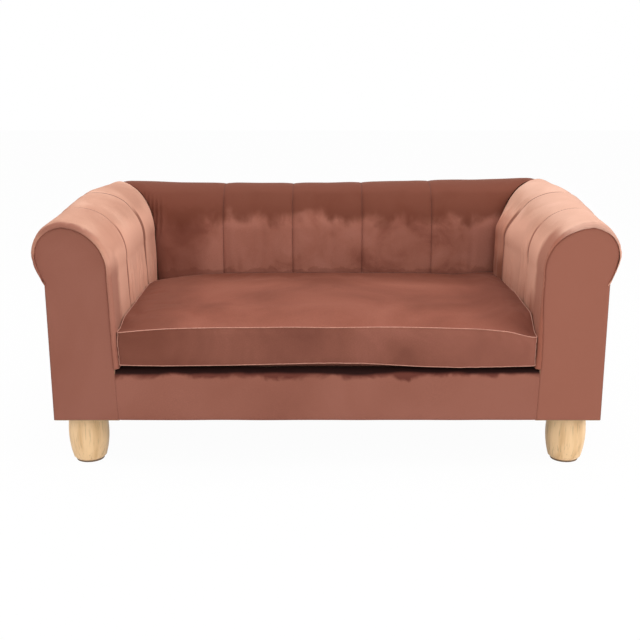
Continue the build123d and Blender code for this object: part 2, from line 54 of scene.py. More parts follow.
# %% Stand the camera in front
camera_place = Vector((0.0, -1.685, 0.604))
camera_tilt = math.radians(90.0 - 14.56)
bpy.ops.object.camera_add(location=camera_place, rotation=(camera_tilt, 0.0, 0.0))
camera = bpy.context.object
camera.name = "camera"
camera.data.lens = 56.83
camera.data.sensor_width = 36.0
camera.data.shift_x = -0.0114
camera.data.shift_y = -0.0012
bpy.context.scene.camera = camera
print("camera at", [round(v, 3) for v in camera.location])

# %% [markdown]
# ## One line for a node
# The world and every material are trees of nodes. A node takes settings, plain values and links from other
# nodes, and one helper gives it all three.

# %% Helpers for nodes
WHITE = (1.0, 1.0, 1.0, 1.0)
EVEN = (1.0, 1.0, 1.0)


def add_node(tree, kind, sockets, **settings):
    """A new node. Each socket gets a link, where the value is another node's output, or a plain value."""
    node = tree.nodes.new("ShaderNode" + kind)
    for name, value in settings.items():
        setattr(node, name, value)
    for socket, value in sockets.items():
        if hasattr(value, "links"):
            tree.links.new(value, node.inputs[socket])
        else:
            node.inputs[socket].default_value = value
    return node


def worked_out(tree, how, *values):
    """What a Math node makes of links and plain numbers."""
    return add_node(tree, "Math", dict(enumerate(values)), operation=how).outputs[0]


def seen_directly(tree):
    """1 where the camera sees a thing by itself, in a mirror or through glass, and 0 for its light."""
    rays = add_node(tree, "LightPath", {}).outputs
    seen = rays["Is Camera Ray"]
    for kind in ("Is Glossy Ray", "Is Transmission Ray"):
        seen = worked_out(tree, "MAXIMUM", seen, rays[kind])
    return seen


def start_finish(name):
    """A new material with its tree and its shader."""
    finish = bpy.data.materials.new(name)
    finish.use_nodes = True
    return finish, finish.node_tree, finish.node_tree.nodes["Principled BSDF"]


print("node helpers ready")

# %% [markdown]
# ## Light and floor
# Catalogue light is soft and comes from everywhere, with a little more from above. Small lamps would draw
# hard lines over the velvet, so large area lamps are used. The floor is white to the camera and still takes a
# shadow.

# %% Hang the soft lamps
sofa_middle = Vector((0.0, 0.0, 0.2))
lamps = {  # place, size in metres and watts
    "lamp_above": ((0.0, -0.25, 2.1), 1.9, 24.0),
    "lamp_front": ((0.3, -2.6, 1.5), 1.8, 18.0),
    "lamp_right": ((2.0, -0.8, 1.4), 1.4, 19.0),
    "lamp_left": ((-2.0, -0.6, 1.4), 1.4, 8.0),
}
for name, (place, size, watts) in lamps.items():
    bpy.ops.object.light_add(type="AREA", location=place)
    lamp = bpy.context.object
    lamp.name = name
    lamp.data.size = size
    lamp.data.energy = watts
    lamp.rotation_euler = (sofa_middle - Vector(place)).to_track_quat("-Z", "Y").to_euler()
world = bpy.data.worlds.new("studio")
bpy.context.scene.world = world
world.use_nodes = True
world_tree = world.node_tree
room_light = world_tree.nodes["Background"]
room_light.inputs["Color"].default_value = WHITE
room_light.inputs["Strength"].default_value = 0.52
seen_white = add_node(world_tree, "Background", {"Color": WHITE, "Strength": 1.0})
world_mix = add_node(world_tree, "MixShader", {
    "Fac": seen_directly(world_tree), 1: room_light.outputs[0], 2: seen_white.outputs[0]})
world_tree.links.new(world_mix.outputs[0], world_tree.nodes["World Output"].inputs["Surface"])
bpy.context.scene.view_settings.view_transform = "Standard"

# %% Roll out the floor
floor_glow = 0.97
bpy.ops.mesh.primitive_plane_add(size=14.0, location=(0.0, 0.0, 0.0))
floor = bpy.context.object
floor.name = "floor"
paper, paper_tree, paper_shader = start_finish("floor_paper")
paper_shader.inputs["Base Color"].default_value = (0.86, 0.86, 0.86, 1.0)
paper_shader.inputs["Roughness"].default_value = 0.9
paper_mix = add_node(paper_tree, "MixShader", {
    "Fac": worked_out(paper_tree, "MULTIPLY", seen_directly(paper_tree), floor_glow),
    1: paper_shader.outputs[0], 2: add_node(paper_tree, "Emission", {}).outputs[0]})
paper_tree.links.new(paper_mix.outputs[0], paper_tree.nodes["Material Output"].inputs["Surface"])
floor.data.materials.append(paper)
print("floor", floor.dimensions[:])

# %% [markdown]
# ## Velvet
# Velvet is a pile of short upright hairs. It looks dark where the hairs point at you, pale where they lean
# away, and it keeps the mark of every hand that strokes it. Three things give that here: slow clouds of
# lighter and darker rose for the strokes, a fine grain for the hairs, and the shader's sheen for the pale
# edges. Over them, marks of lighter and darker rose in set regions are painted light and painted shade. A
# picture of velvet would be quicker, but it would not follow the rolls of the arms.

# %% Helpers for materials
def clouds(tree, size, detail, stretch=EVEN, swirl=0.0):
    """A noise in the object's own space. size is how many clouds fit in a metre."""
    place = add_node(tree, "TexCoord", {}).outputs["Object"]
    sized = add_node(tree, "Mapping", {"Vector": place, "Scale": stretch}).outputs["Vector"]
    values = {"Vector": sized, "Scale": size, "Detail": detail, "Distortion": swirl}
    return add_node(tree, "TexNoise", values).outputs["Fac"]


def tones(tree, value, stops):
    """A colour ramp over a value, from a list of places and colours."""
    ramp = add_node(tree, "ValToRGB", {"Fac": value})
    while len(ramp.color_ramp.elements) < len(stops):
        ramp.color_ramp.elements.new(0.5)
    for element, (place, colour) in zip(ramp.color_ramp.elements, stops):
        element.position = place
        element.color = (*colour, 1.0)
    return ramp.outputs["Color"]


def mixed(tree, kind, share, first, second):
    """Two colours mixed, where share, first and second are links or plain values."""
    return add_node(tree, "MixRGB", {0: share, 1: first, 2: second}, blend_type=kind).outputs["Color"]


def coat(tree, shader, colour, values, layers):
    """Give a shader its colour, plain values and bump layers, each a height, a strength and a depth."""
    tree.links.new(colour, shader.inputs["Base Color"])
    for socket, value in values.items():
        shader.inputs[socket].default_value = value
    below = {}
    for height, strength, depth in layers:
        bump = add_node(tree, "Bump", {"Height": height, "Strength": strength, "Distance": depth, **below})
        below = {"Normal": bump.outputs["Normal"]}
    tree.links.new(below["Normal"], shader.inputs["Normal"])


print("material helpers ready")

# %% The velvet and its painted light and shade
def velvet(name, dark, middle, pale, cloud_size, sheen=0.2):
    """Velvet in three tones of one rose."""
    finish, tree, shader = start_finish(name)
    strokes = clouds(tree, cloud_size, 4.0, EVEN, 0.7)
    colour = tones(tree, strokes, [(0.34, dark), (0.5, middle), (0.66, pale)])
    hairs = clouds(tree, 900.0, 2.0)
    hair_tone = tones(tree, hairs, [(0.3, (0.84, 0.83, 0.82)), (0.7, EVEN)])
    soft_waves = clouds(tree, 26.0, 2.0)
    coat(tree, shader, mixed(tree, "MULTIPLY", 1.0, colour, hair_tone),
         {"Roughness": 0.92, "Specular IOR Level": 0.18, "Sheen Weight": sheen, "Sheen Roughness": 0.42,
          "Sheen Tint": (1.0, 0.6, 0.45, 1.0)}, [(soft_waves, 0.35, 0.003), (hairs, 0.35, 0.0003)])
    return finish


def paint_light_and_shade(finish, colour, spans, ragged, cloud_size, share=1.0, stretch=EVEN):
    """Paint a colour over one region; most such marks here are painted light and painted shade. Each span is
    an axis, as |X for both sides alike, and where its edge starts and ends. ragged is how far that edge
    wanders."""
    tree = finish.node_tree
    base = tree.nodes["Principled BSDF"].inputs["Base Color"]
    before = base.links[0].from_socket
    place = add_node(tree, "TexCoord", {}).outputs["Object"]
    parts = add_node(tree, "SeparateXYZ", {"Vector": place}).outputs
    wander = clouds(tree, cloud_size, 4.0, stretch, 0.4)
    shift = worked_out(tree, "MULTIPLY_ADD", wander, ragged, -0.5 * ragged)
    region = share
    for axis, start, end in spans:
        along = parts[axis[-1]]
        if axis.startswith("|"):
            along = worked_out(tree, "ABSOLUTE", along)
        edge = add_node(tree, "MapRange", {
            "Value": worked_out(tree, "ADD", along, shift), "From Min": start, "From Max": end},
            interpolation_type="SMOOTHSTEP").outputs["Result"]
        region = worked_out(tree, "MULTIPLY", region, edge)
    tree.links.new(mixed(tree, "MIX", region, before, (*colour, 1.0)), base)


print("velvet helpers ready")

# %% Mix the velvets
rose = (0.285, 0.104, 0.071)
# Painted shade for the right arm's inner face.
painted_shade_rose = (0.3, 0.1, 0.063)
# The arms' pale tones: partly the pile laid the other way, partly painted light and sheen.
painted_light_salmon = (0.62, 0.33, 0.235)
painted_light_bright_salmon = (0.74, 0.43, 0.32)
# Painted shade for the back.
painted_back_shade = (0.165, 0.049, 0.031)
shaded_rose = (0.12, 0.027, 0.013)
# Painted shadow for the band's top, under the cushion's overhang.
painted_gap_shadow = (0.016, 0.003, 0.002)
left_arm = ("X", -0.29, -0.3)
right_arm = ("X", 0.27, 0.28)
under_roll = ("Z", 0.36, 0.34)
# Each velvet has three tones, its clouds in a metre, sometimes its sheen, and then its marks, most of
# them painted light and painted shade. A mark is a colour, its spans, how ragged they are, its clouds in a
# metre and how much of the colour covers. The sofa wears one rose velvet, and the tones of the six differ
# partly as painted light and shade.
velvets = {
    "plain": (((0.26, 0.093, 0.063), rose, (0.31, 0.118, 0.083), 5.0), [
        # Painted light: the plain velvet is lighter towards the right side, where more light falls.
        ((0.302, 0.11, 0.073), [("X", 0.27, 0.33)], 0.02, 9.0, 0.85),
    ]),
    # The arms' salmon tones are partly the pile laid the other way and partly painted light and sheen. Their
    # marks are painted light on the crests and painted shade low on the inner faces, towards the rear, beside
    # the lip and along the seam valleys. The rose on the outer sides and at the lip's front is the facings' own
    # tone.
    "arm": (((0.53, 0.265, 0.185), painted_light_salmon, painted_light_bright_salmon, 8.0), [
        (rose, [("|X", 0.398, 0.424)], 0.012, 30.0),
        ((0.26, 0.095, 0.066), [("Y", -0.249, -0.261)], 0.011, 60.0, 0.85),
        ((0.74, 0.39, 0.28), [("X", -0.36, -0.33), ("Z", 0.36, 0.33)], 0.03, 20.0, 0.8),
        ((0.5, 0.235, 0.16), [("Z", 0.37, 0.35), ("Z", 0.318, 0.336), ("X", -0.25, -0.28),
                              ("Y", -0.12, -0.16)], 0.02, 30.0, 0.65),
        ((0.44, 0.175, 0.117), [left_arm, ("Z", 0.265, 0.185)], 0.04, 26.0, 0.8),
        ((0.38, 0.145, 0.1), [("X", -0.36, -0.33), ("Z", 0.33, 0.3), ("Y", 0.03, 0.09)], 0.04, 30.0, 0.5),
        (painted_shade_rose, [right_arm, ("Z", 0.3, 0.2)], 0.04, 26.0, 0.75),
        (painted_shade_rose, [right_arm, ("X", 0.345, 0.325), ("Y", -0.2, -0.222)], 0.014, 40.0, 0.85),
        (painted_shade_rose, [right_arm, ("Z", 0.27, 0.23), ("Y", -0.165, -0.19)], 0.01, 40.0, 0.85),
        ((0.3, 0.11, 0.075), [left_arm, ("Z", 0.34, 0.29), ("Y", -0.2, -0.228)], 0.02, 36.0, 0.85),
        ((0.31, 0.113, 0.077), [left_arm, ("Z", 0.21, 0.18), ("Y", -0.17, -0.21)], 0.02, 36.0, 0.8),
        ((0.78, 0.48, 0.37), [("X", 0.33, 0.36), ("Z", 0.33, 0.36)], 0.03, 20.0, 0.5),
        ((0.34, 0.105, 0.06), [right_arm, ("Z", 0.35, 0.32), ("Y", -0.02, 0.05)], 0.03, 26.0, 0.65),
        ((0.19, 0.058, 0.034), [right_arm, ("Z", 0.285, 0.25), ("Y", 0.0, 0.04)], 0.03, 26.0, 0.75),
        ((0.2, 0.07, 0.045), [("Y", 0.0252, 0.026), ("Y", 0.035, 0.033), under_roll], 0.0, 30.0, 0.85),
        ((0.25, 0.09, 0.06), [("Y", -0.1265, -0.1257), ("Y", -0.1218, -0.123), under_roll], 0.0, 30.0, 0.8),
        ((0.22, 0.075, 0.05), [("Y", 0.0228, 0.0241), ("Y", 0.0269, 0.0256)], 0.0, 30.0, 0.9),
        ((0.4, 0.17, 0.12), [("Y", -0.1295, -0.1275), ("Y", -0.1242, -0.1262), ("Z", 0.372, 0.352)],
         0.0, 30.0, 0.7),
    ]),
    # The back's middle tone is lighter than the facings' as painted light. Its marks are painted shade: the
    # left end, the upper roll where it turns away from the light, the crest, and patches where it meets the
    # cushion.
    "back": (((0.25, 0.085, 0.057), (0.345, 0.132, 0.091), (0.39, 0.157, 0.112), 13.0, 0.1), [
        (painted_back_shade, [("X", -0.21, -0.24)], 0.05, 24.0, 0.55),
        ((0.13, 0.036, 0.02), [("Z", 0.304, 0.332)], 0.08, 22.0, 0.9, (1.0, 1.0, 0.6)),
        (painted_back_shade, [("Z", 0.332, 0.344), ("X", -0.15, -0.2)], 0.05, 40.0, 0.4),
        ((0.17, 0.052, 0.032), [("Z", 0.362, 0.37)], 0.012, 24.0, 0.8),
        (painted_back_shade, [("Z", 0.231, 0.227)], 0.036, 40.0, 0.4),
    ]),
    # The seat's tones are darker than the facings', partly the lie of the pile and partly painted shade. Its
    # marks are painted shade towards the back and beside both arms.
    "seat": (((0.21, 0.064, 0.04), (0.262, 0.083, 0.053), (0.305, 0.103, 0.068), 6.0, 0.05), [
        (shaded_rose, [("Y", -0.05, 0.005)], 0.03, 14.0, 0.45),
        (shaded_rose, [("Y", 0.0, 0.08)], 0.04, 14.0, 0.8),
        ((0.13, 0.037, 0.023), [("X", 0.2, 0.29)], 0.05, 16.0, 0.7),
        ((0.16, 0.05, 0.031), [("X", -0.19, -0.26)], 0.06, 16.0, 0.75),
    ]),
    # The boxing's tones are darker than the facings' as painted shade. Its marks are painted light on the right
    # and painted shade on the left.
    "boxing": (((0.19, 0.063, 0.042), (0.24, 0.084, 0.056), (0.29, 0.105, 0.073), 9.0, 0.12), [
        ((0.27, 0.096, 0.066), [("X", 0.13, 0.2)], 0.05, 20.0, 0.6),
        ((0.15, 0.045, 0.027), [("X", -0.15, -0.27)], 0.05, 24.0, 0.65),
    ]),
    # The marks along the band's top are painted shadow, dark down to near black, where the cushion hangs over
    # it.
    "band": (((0.262, 0.093, 0.063), (0.294, 0.108, 0.074), (0.32, 0.121, 0.085), 5.0, 0.06), [
        ((0.09, 0.018, 0.012), [("Z", 0.142, 0.15)], 0.034, 26.0, 0.8),
        (painted_gap_shadow, [("Z", 0.148, 0.153)], 0.014, 9.0, 1.0),
    ]),
}
velvet_of = {}
for place, (recipe, marks) in velvets.items():
    velvet_of[place] = velvet(f"{place}_velvet", *recipe)
    for mark in marks:
        paint_light_and_shade(velvet_of[place], *mark)
print("velvets", [m.name for m in bpy.data.materials if "velvet" in m.name])

# %% [markdown]
# ## Thread, wood and the rest
# Thread and seam edges are small, so they need only one tone and a twist. The dark thread is painted shade
# along the seam valleys, and the cushion's pale seam edges are painted highlight. The feet are rubberwood:
# straw coloured, with long soft streaks up the foot and short dark pores. The boards inside are never lit,
# but they show when a cover is taken off, so each has its own simple finish.

# %% Thread, seam edges and the hard parts
def plain_finish(name, colour, second, size, roughness, stretch=EVEN, depth=0.0003, metal=0.0):
    """A finish of two near tones with a fine bump."""
    finish, tree, shader = start_finish(name)
    grain = clouds(tree, size, 3.0, stretch)
    coat(tree, shader, tones(tree, grain, [(0.35, colour), (0.65, second)]),
         {"Roughness": roughness, "Metallic": metal}, [(grain, 0.4, depth)])
    return finish


def wood(name, pale, dark, size, stretch, pores, roughness):
    """Wood with streaks that are long where stretch is small."""
    finish, tree, shader = start_finish(name)
    streaks = clouds(tree, size, 5.0, stretch, 0.3)
    palest = tuple(min(1.0, part * 1.08) for part in pale)
    colour = tones(tree, streaks, [(0.36, dark), (0.52, pale), (0.68, palest)])
    pore_cloud = clouds(tree, size * 9.0, 2.0, tuple(s if s >= 1.0 else s * 0.8 for s in stretch))
    pore_tone = tones(tree, pore_cloud, [(0.3, (1.0 - pores,) * 3), (0.42, EVEN)])
    coat(tree, shader, mixed(tree, "MULTIPLY", 1.0, colour, pore_tone), {"Roughness": roughness},
         [(pore_cloud, 0.25, 0.0002)])
    return finish


woods = {  # pale and dark tone, streaks in a metre, their stretch, how dark the pores are, roughness
    "foot_wood": ((0.87, 0.59, 0.32), (0.7, 0.43, 0.2), 60.0, (1.0, 1.0, 0.07), 0.26, 0.48),
    "softwood": ((0.72, 0.5, 0.28), (0.55, 0.34, 0.16), 50.0, (0.05, 1.0, 1.0), 0.1, 0.7),
    "plywood": ((0.68, 0.5, 0.31), (0.55, 0.38, 0.21), 40.0, (0.12, 0.12, 1.0), 0.1, 0.7),
}
plain_parts = {  # two tones, grains in a metre, roughness, then stretch, depth and metal where they differ
    "fibreboard": ((0.3, 0.19, 0.1), (0.38, 0.25, 0.14), 400.0, 0.85),
    "foam": ((0.78, 0.72, 0.5), (0.86, 0.81, 0.6), 700.0, 0.95, EVEN, 0.0006),
    "felt": ((0.17, 0.11, 0.07), (0.25, 0.17, 0.11), 800.0, 0.98, EVEN, 0.0005),
    "plated_steel": ((0.58, 0.57, 0.55), (0.68, 0.67, 0.65), 500.0, 0.32, EVEN, 0.0003, 1.0),
    "zip_metal": ((0.42, 0.36, 0.3), (0.5, 0.43, 0.36), 500.0, 0.35, EVEN, 0.0003, 1.0),
    "zip_tape": ((0.13, 0.05, 0.037), (0.17, 0.068, 0.05), 1200.0, 0.9, (1.0, 1.0, 3.0)),
}
# Dark thread: painted shade along the seam valleys.
seam_thread = plain_finish("seam_thread", (0.075, 0.022, 0.015), (0.11, 0.036, 0.024), 900.0, 0.8)
# Pale edges: painted highlight along the cushion's seams.
painted_highlight_edge = plain_finish("painted_highlight_edge", (0.44, 0.2, 0.145), (0.56, 0.27, 0.2), 300.0, 0.85)
finishes = {name: wood(name, *recipe) for name, recipe in woods.items()}
finishes.update((name, plain_finish(name, *recipe)) for name, recipe in plain_parts.items())
print("materials", len(bpy.data.materials))

# %% Woven linings
def woven(name, colour, second, threads):
    """A plain weave: two wave patterns at right angles."""
    finish, tree, shader = start_finish(name)
    place = add_node(tree, "TexCoord", {}).outputs["Object"]
    waves = [add_node(tree, "TexWave", {"Vector": place, "Scale": threads, "Distortion": 0.4},
                      bands_direction=direction).outputs["Fac"] for direction in ("X", "Y")]
    crossing = mixed(tree, "MULTIPLY", 1.0, *waves)
    coat(tree, shader, tones(tree, crossing, [(0.1, colour), (0.8, second)]), {"Roughness": 0.9},
         [(crossing, 0.5, 0.0004)])
    return finish


linings = {
    "deck_lining": woven("deck_lining", (0.07, 0.03, 0.022), (0.14, 0.065, 0.048), 260.0),
    "dust_cloth": woven("dust_cloth", (0.012, 0.012, 0.013), (0.04, 0.04, 0.042), 220.0),
}
print("linings", *(lining.name for lining in linings.values()))

# %% [markdown]
# ## The shape of the roll
# An arm and the back have one outline: a face that leans out as it rises, a full round crest, and a tuck back
# under to a small notch. It is a line and three arcs. Here it is worked out as points, and every piece that
# follows the roll is drawn along them.

# %% The sofa's own measures
MM = 0.001
arm_thickness = 120 * MM
back_thickness = 147 * MM
foot_top = 77 * MM
seat_level = 157.9 * MM
spring_z = 296 * MM
crest_z = 376 * MM
widest_z = 326 * MM
notch_z = 284 * MM
front_y = -262 * MM
rear_y = 262 * MM
inner_x = 305 * MM
inner_y = 115 * MM
side_x = 409 * MM
back_y = 242.4 * MM
arm_seams = [-126.9 * MM, 24.85 * MM]
back_seams = [-189 * MM, -63 * MM, 63 * MM, 189 * MM]
seam_half = 1.2 * MM
lip_depth = 6 * MM
lip_width = 7 * MM
face_slope = 0.055
crest_share = 0.63
sides = {"left": -1, "right": 1}
quarter_turn = [math.radians(15 * k) for k in range(1, 7)]


def face_lean(thickness, z):
    """How far the inner face has leant out at a height."""
    return face_slope * thickness * (z - foot_top) / (spring_z - foot_top)


def arc_points(start, through, end, count):
    """Points along the circle through three points, without the first."""
    (ax, az), (bx, bz), (cx, cz) = start, through, end
    twice = 2 * (ax * (bz - cz) + bx * (cz - az) + cx * (az - bz))
    a2, b2, c2 = ax * ax + az * az, bx * bx + bz * bz, cx * cx + cz * cz
    mx = (a2 * (bz - cz) + b2 * (cz - az) + c2 * (az - bz)) / twice
    mz = (a2 * (cx - bx) + b2 * (ax - cx) + c2 * (bx - ax)) / twice
    radius = math.hypot(ax - mx, az - mz)
    first = math.atan2(az - mz, ax - mx)
    turn = (math.atan2(cz - mz, cx - mx) - first) % (2 * math.pi)
    middle = (math.atan2(bz - mz, bx - mx) - first) % (2 * math.pi)
    if middle > turn:
        turn -= 2 * math.pi
    angles = [first + turn * k / count for k in range(1, count + 1)]
    return [(mx + radius * math.cos(angle), mz + radius * math.sin(angle)) for angle in angles]


def between(start, end, shares):
    """A point part of the way from one point to another, with a share for each direction."""
    return tuple(a + (b - a) * share for a, b, share in zip(start, end, shares))


def roll_line(thickness, low, inset=0.0, step=0.003, full=0.0):
    """The outline as distances out from the inner face, and heights, from low up to the notch. A full roll
    has more padding on its outer shoulder."""
    spring = (face_lean(thickness, spring_z) + inset, spring_z)
    crest = ((crest_share + 0.095 * full) * thickness, crest_z + 7.5 * MM * full - inset)
    widest = (thickness + 3 * MM * full - inset, widest_z + 6 * MM * full)
    notch = (0.846 * thickness - inset, notch_z)
    rising = between(spring, crest, (0.26 - 0.106 * full, 0.7 - 0.106 * full))
    falling = between(crest, widest, (0.69 - 0.037 * full, 0.29 - 0.148 * full))
    tucking = between(widest, notch, (0.36, 0.55))
    count = round((spring_z - low) / step)
    foot = (face_lean(thickness, low) + inset, low)
    line = [between(foot, spring, (k / count, k / count)) for k in range(count + 1)]
    arcs = ((spring, rising, crest, 0.114), (crest, falling, widest, 0.072), (widest, tucking, notch, 0.048))
    for start, through, end, length in arcs:
        line += arc_points(start, through, end, round(length / step))
    return line


def step_along(table, place):
    """The value of a table at a place, straight between its rows."""
    for (start, low), (end, high) in zip(table, table[1:]):
        if place <= end:
            return low + (high - low) * max(0.0, (place - start) / (end - start))
    return table[-1][1]


def growth_rows(thickness):
    """Each point of the plain outline with what the full outline adds to it."""
    plain, full = roll_line(thickness, seat_level), roll_line(thickness, seat_level, full=1.0)
    return [(here, (there[0] - here[0], there[1] - here[1])) for here, there in zip(plain, full)]


def nearest_growth(rows, outward, z):
    """What the full outline adds beside a point."""
    return min(rows, key=lambda row: (row[0][0] - outward) ** 2 + (row[0][1] - z) ** 2)[1]


print("roll points", len(roll_line(arm_thickness, seat_level)))

# %% [markdown]
# ## Working by hand in code
# The pieces are made with the same tools as in the window: extrude, subdivide, resize, inset. An operator
# works on whatever is selected, so each helper first lets go of everything and then selects by place.

# %% Helpers for modelling
def let_go():
    """Leave edit mode and select nothing."""
    if bpy.context.object and bpy.context.object.mode != "OBJECT":
        bpy.ops.object.mode_set(mode="OBJECT")
    bpy.ops.object.select_all(action="DESELECT")


def take(piece):
    """Select one piece and make it the active one."""
    let_go()
    piece.select_set(True)
    bpy.context.view_layer.objects.active = piece


def near(value, place, slack=1e-6):
    """True for a value that is at a place."""
    return abs(value - place) < slack


def choose(piece, kind, wanted):
    """In edit mode, select the vertices, edges or faces that pass a test."""
    bpy.ops.mesh.select_mode(type=kind)
    bpy.ops.mesh.select_all(action="DESELECT")
    net = bmesh.from_edit_mesh(piece.data)
    for part in {"VERT": net.verts, "EDGE": net.edges, "FACE": net.faces}[kind]:
        if wanted(part):
            part.select_set(True)
    if kind == "VERT":
        net.select_flush(True)
    bmesh.update_edit_mesh(piece.data)


def choose_all(kind):
    """In edit mode, select everything, as vertices, edges or faces."""
    bpy.ops.mesh.select_mode(type=kind)
    bpy.ops.mesh.select_all(action="SELECT")


def nudge(piece, moved):
    """In edit mode, put each selected vertex where moved says."""
    net = bmesh.from_edit_mesh(piece.data)
    for v in net.verts:
        if v.select:
            v.co = moved(v.co.copy())
    bmesh.update_edit_mesh(piece.data)


def pull(shift):
    """Extrude what is selected by a step."""
    bpy.ops.mesh.extrude_region_move(TRANSFORM_OT_translate={"value": shift})


def draw_line(name, points):
    """Extrude one vertex from point to point and stay in edit mode with the whole line selected."""
    let_go()
    bpy.ops.mesh.primitive_plane_add(size=0.01, location=points[0])
    piece = bpy.context.object
    piece.name = piece.data.name = name
    bpy.ops.object.transform_apply(location=True, rotation=False, scale=False)
    bpy.ops.object.mode_set(mode="EDIT")
    choose_all("VERT")
    bpy.ops.mesh.merge(type="CENTER")
    for here, there in zip(points, points[1:]):
        pull(there - here)
    bpy.ops.mesh.select_all(action="SELECT")
    return piece


def lay_grid(name, place, size, columns, rows, turn=(0.0, 0.0, 0.0)):
    """A fine grid, turned and then stretched to its size, with its origin at the world's."""
    let_go()
    bpy.ops.mesh.primitive_grid_add(x_subdivisions=columns, y_subdivisions=rows, size=1,
                                    location=place, rotation=turn)
    piece = bpy.context.object
    piece.name = piece.data.name = name
    bpy.ops.object.transform_apply(location=True, rotation=True, scale=True)
    bpy.ops.object.mode_set(mode="EDIT")
    bpy.ops.transform.resize(value=size, center_override=place)
    bpy.ops.object.mode_set(mode="OBJECT")
    return piece


def split_band(piece, axis, low, high, cuts):
    """Cut the long edges that cross from low to high along an axis."""
    slack = 1e-5

    def crosses(edge):
        first, second = (v.co[axis] for v in edge.verts)
        return min(first, second) <= low + slack and max(first, second) >= high - slack

    choose(piece, "EDGE", crosses)
    bpy.ops.mesh.subdivide(number_cuts=cuts)


def shape(piece, move):
    """Move each vertex along its own normal by what move gives for its place."""
    net = bmesh.new()
    net.from_mesh(piece.data)
    net.normal_update()
    steps = [(v, v.normal * move(v.co)) for v in net.verts]
    for v, step in steps:
        v.co += step
    net.to_mesh(piece.data)
    net.free()


def thicken(piece, thickness):
    """Give a cloth its thickness, on its inner side."""
    take(piece)
    bpy.ops.object.modifier_add(type="SOLIDIFY")
    piece.modifiers["Solidify"].thickness = thickness
    piece.modifiers["Solidify"].offset = -1.0
    bpy.ops.object.modifier_apply(modifier="Solidify")


def face_area(piece):
    """The area of all faces of a piece."""
    return sum(face.area for face in piece.data.polygons)


def face_outward(piece, probe, outward):
    """Turn the faces so that the one nearest to probe looks outward."""
    nearest = min(piece.data.polygons, key=lambda face: (face.center - Vector(probe)).length_squared)
    if nearest.normal.dot(Vector(outward)) < 0:
        take(piece)
        bpy.ops.object.mode_set(mode="EDIT")
        bpy.ops.mesh.select_all(action="SELECT")
        bpy.ops.mesh.flip_normals()
        bpy.ops.object.mode_set(mode="OBJECT")


def dress(piece, finish, body="frame"):
    """Give a finished piece its material, its smooth look and the body that it rides on."""
    take(piece)
    bpy.ops.object.shade_smooth()
    piece.data.materials.clear()
    piece.data.materials.append(finish)
    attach(piece, body)


def smooth(value):
    """A soft step from 0 to 1."""
    value = max(0.0, min(1.0, value))
    return value * value * (3.0 - 2.0 * value)


print("helpers ready")

# %% [markdown]
# ## Folds and gathers
# Velvet over foam is never perfectly even. A fold is a narrow valley with a low ridge on each side that
# starts and ends softly. Folds are drawn from a seeded list, so they fall in the same places each time.

# %% What a fold does to the surface
def fold_depth(across, along, folds):
    """The sum of the folds at a place: each has a middle, a low and high end, a width, a depth and a sway."""
    total = 0.0
    for middle, low, high, width, depth, sway in folds:
        share = (along - low) / (high - low)
        if not 0.0 < share < 1.0:
            continue
        off = (across - middle - sway * math.sin(3.0 * share)) / width
        if abs(off) > 3.2:
            continue
        reach = smooth(share / 0.25) * smooth((1.0 - share) / 0.3)
        total += depth * reach * (0.55 * math.exp(-((abs(off) - 1.6) ** 2)) - math.exp(-off * off))
    return total


def scatter_folds(seed, count, span, lows, lengths, widths, depths):
    """Folds at random places within a span, the same on every run."""
    chance = random.Random(seed)
    folds = []
    for _ in range(count):
        low = chance.uniform(*lows)
        folds.append((chance.uniform(*span), low, low + chance.uniform(*lengths), chance.uniform(*widths),
                      chance.uniform(*depths), chance.uniform(-0.004, 0.004)))
    return folds


def seam_dip(distance, crease=1.8 * MM):
    """How far a sewn seam draws the padding in at a distance from it: a wide dip with a sharp crease."""
    wide = max(0.0, 1.0 - abs(distance) / (26 * MM)) ** 2
    sharp = max(0.0, 1.0 - abs(distance) / (3.5 * MM)) ** 2
    return -(4.5 * MM * wide + crease * sharp)


print("seam depth", seam_dip(0.0))

# %% [markdown]
# ## The arm pads
# On the bench an arm pad is foam over a board, with a velvet cover sewn in channels and pulled over the roll.
# Its outline is drawn once and pulled backwards band by band, with a close pair of lines at every seam. The
# last line is moved onto the slanting corner seam, where the arm meets the back. Only then are the bands cut
# finely.

# %% Draw an arm pad
arm_fuller = {
    "left": [(-0.262, 0.0), (-0.246, 0.22), (-0.2, 0.28), (-0.145, 0.44), (-0.07, 0.72), (0.0, 0.98),
             (0.06, 1.0), (0.105, 0.82), (0.153, 0.58), (0.205, 0.28), (0.262, 0.05)],
    "right": [(-0.262, 0.0), (-0.246, 0.15), (-0.2, 0.25), (-0.145, 0.42), (-0.075, 0.75), (0.0, 1.08),
              (0.05, 1.18), (0.09, 1.16), (0.14, 1.05), (0.193, 0.91), (0.262, 0.55)],
}
full_y = front_y + lip_depth
corner_slope = (rear_y - inner_y) / arm_thickness


def corner_y(outward):
    """Where the corner seam lies behind a point this far out from the inner face."""
    return inner_y + corner_slope * outward


def mitred_arm(co):
    """A point at the arm's rear end, moved onto the corner seam."""
    return Vector((co.x, corner_y(abs(co.x) - inner_x), co.z))


def pull_pad(pad, axis, start, seams, end, at_end, mitred, cuts):
    """Pull an outline from start to end, with three close lines for every seam. Then move its ends onto the
    corner seams and cut the channels finely."""
    stops = [start, *(seam + gap for seam in seams for gap in (-seam_half, 0.0, seam_half)), end]
    for here, there in zip(stops, stops[1:]):
        pull([there - here if k == axis else 0.0 for k in range(3)])
    choose(pad, "VERT", at_end)
    nudge(pad, mitred)
    for low, high in zip(stops[0::3], stops[1::3]):
        split_band(pad, axis, low, high, cuts)


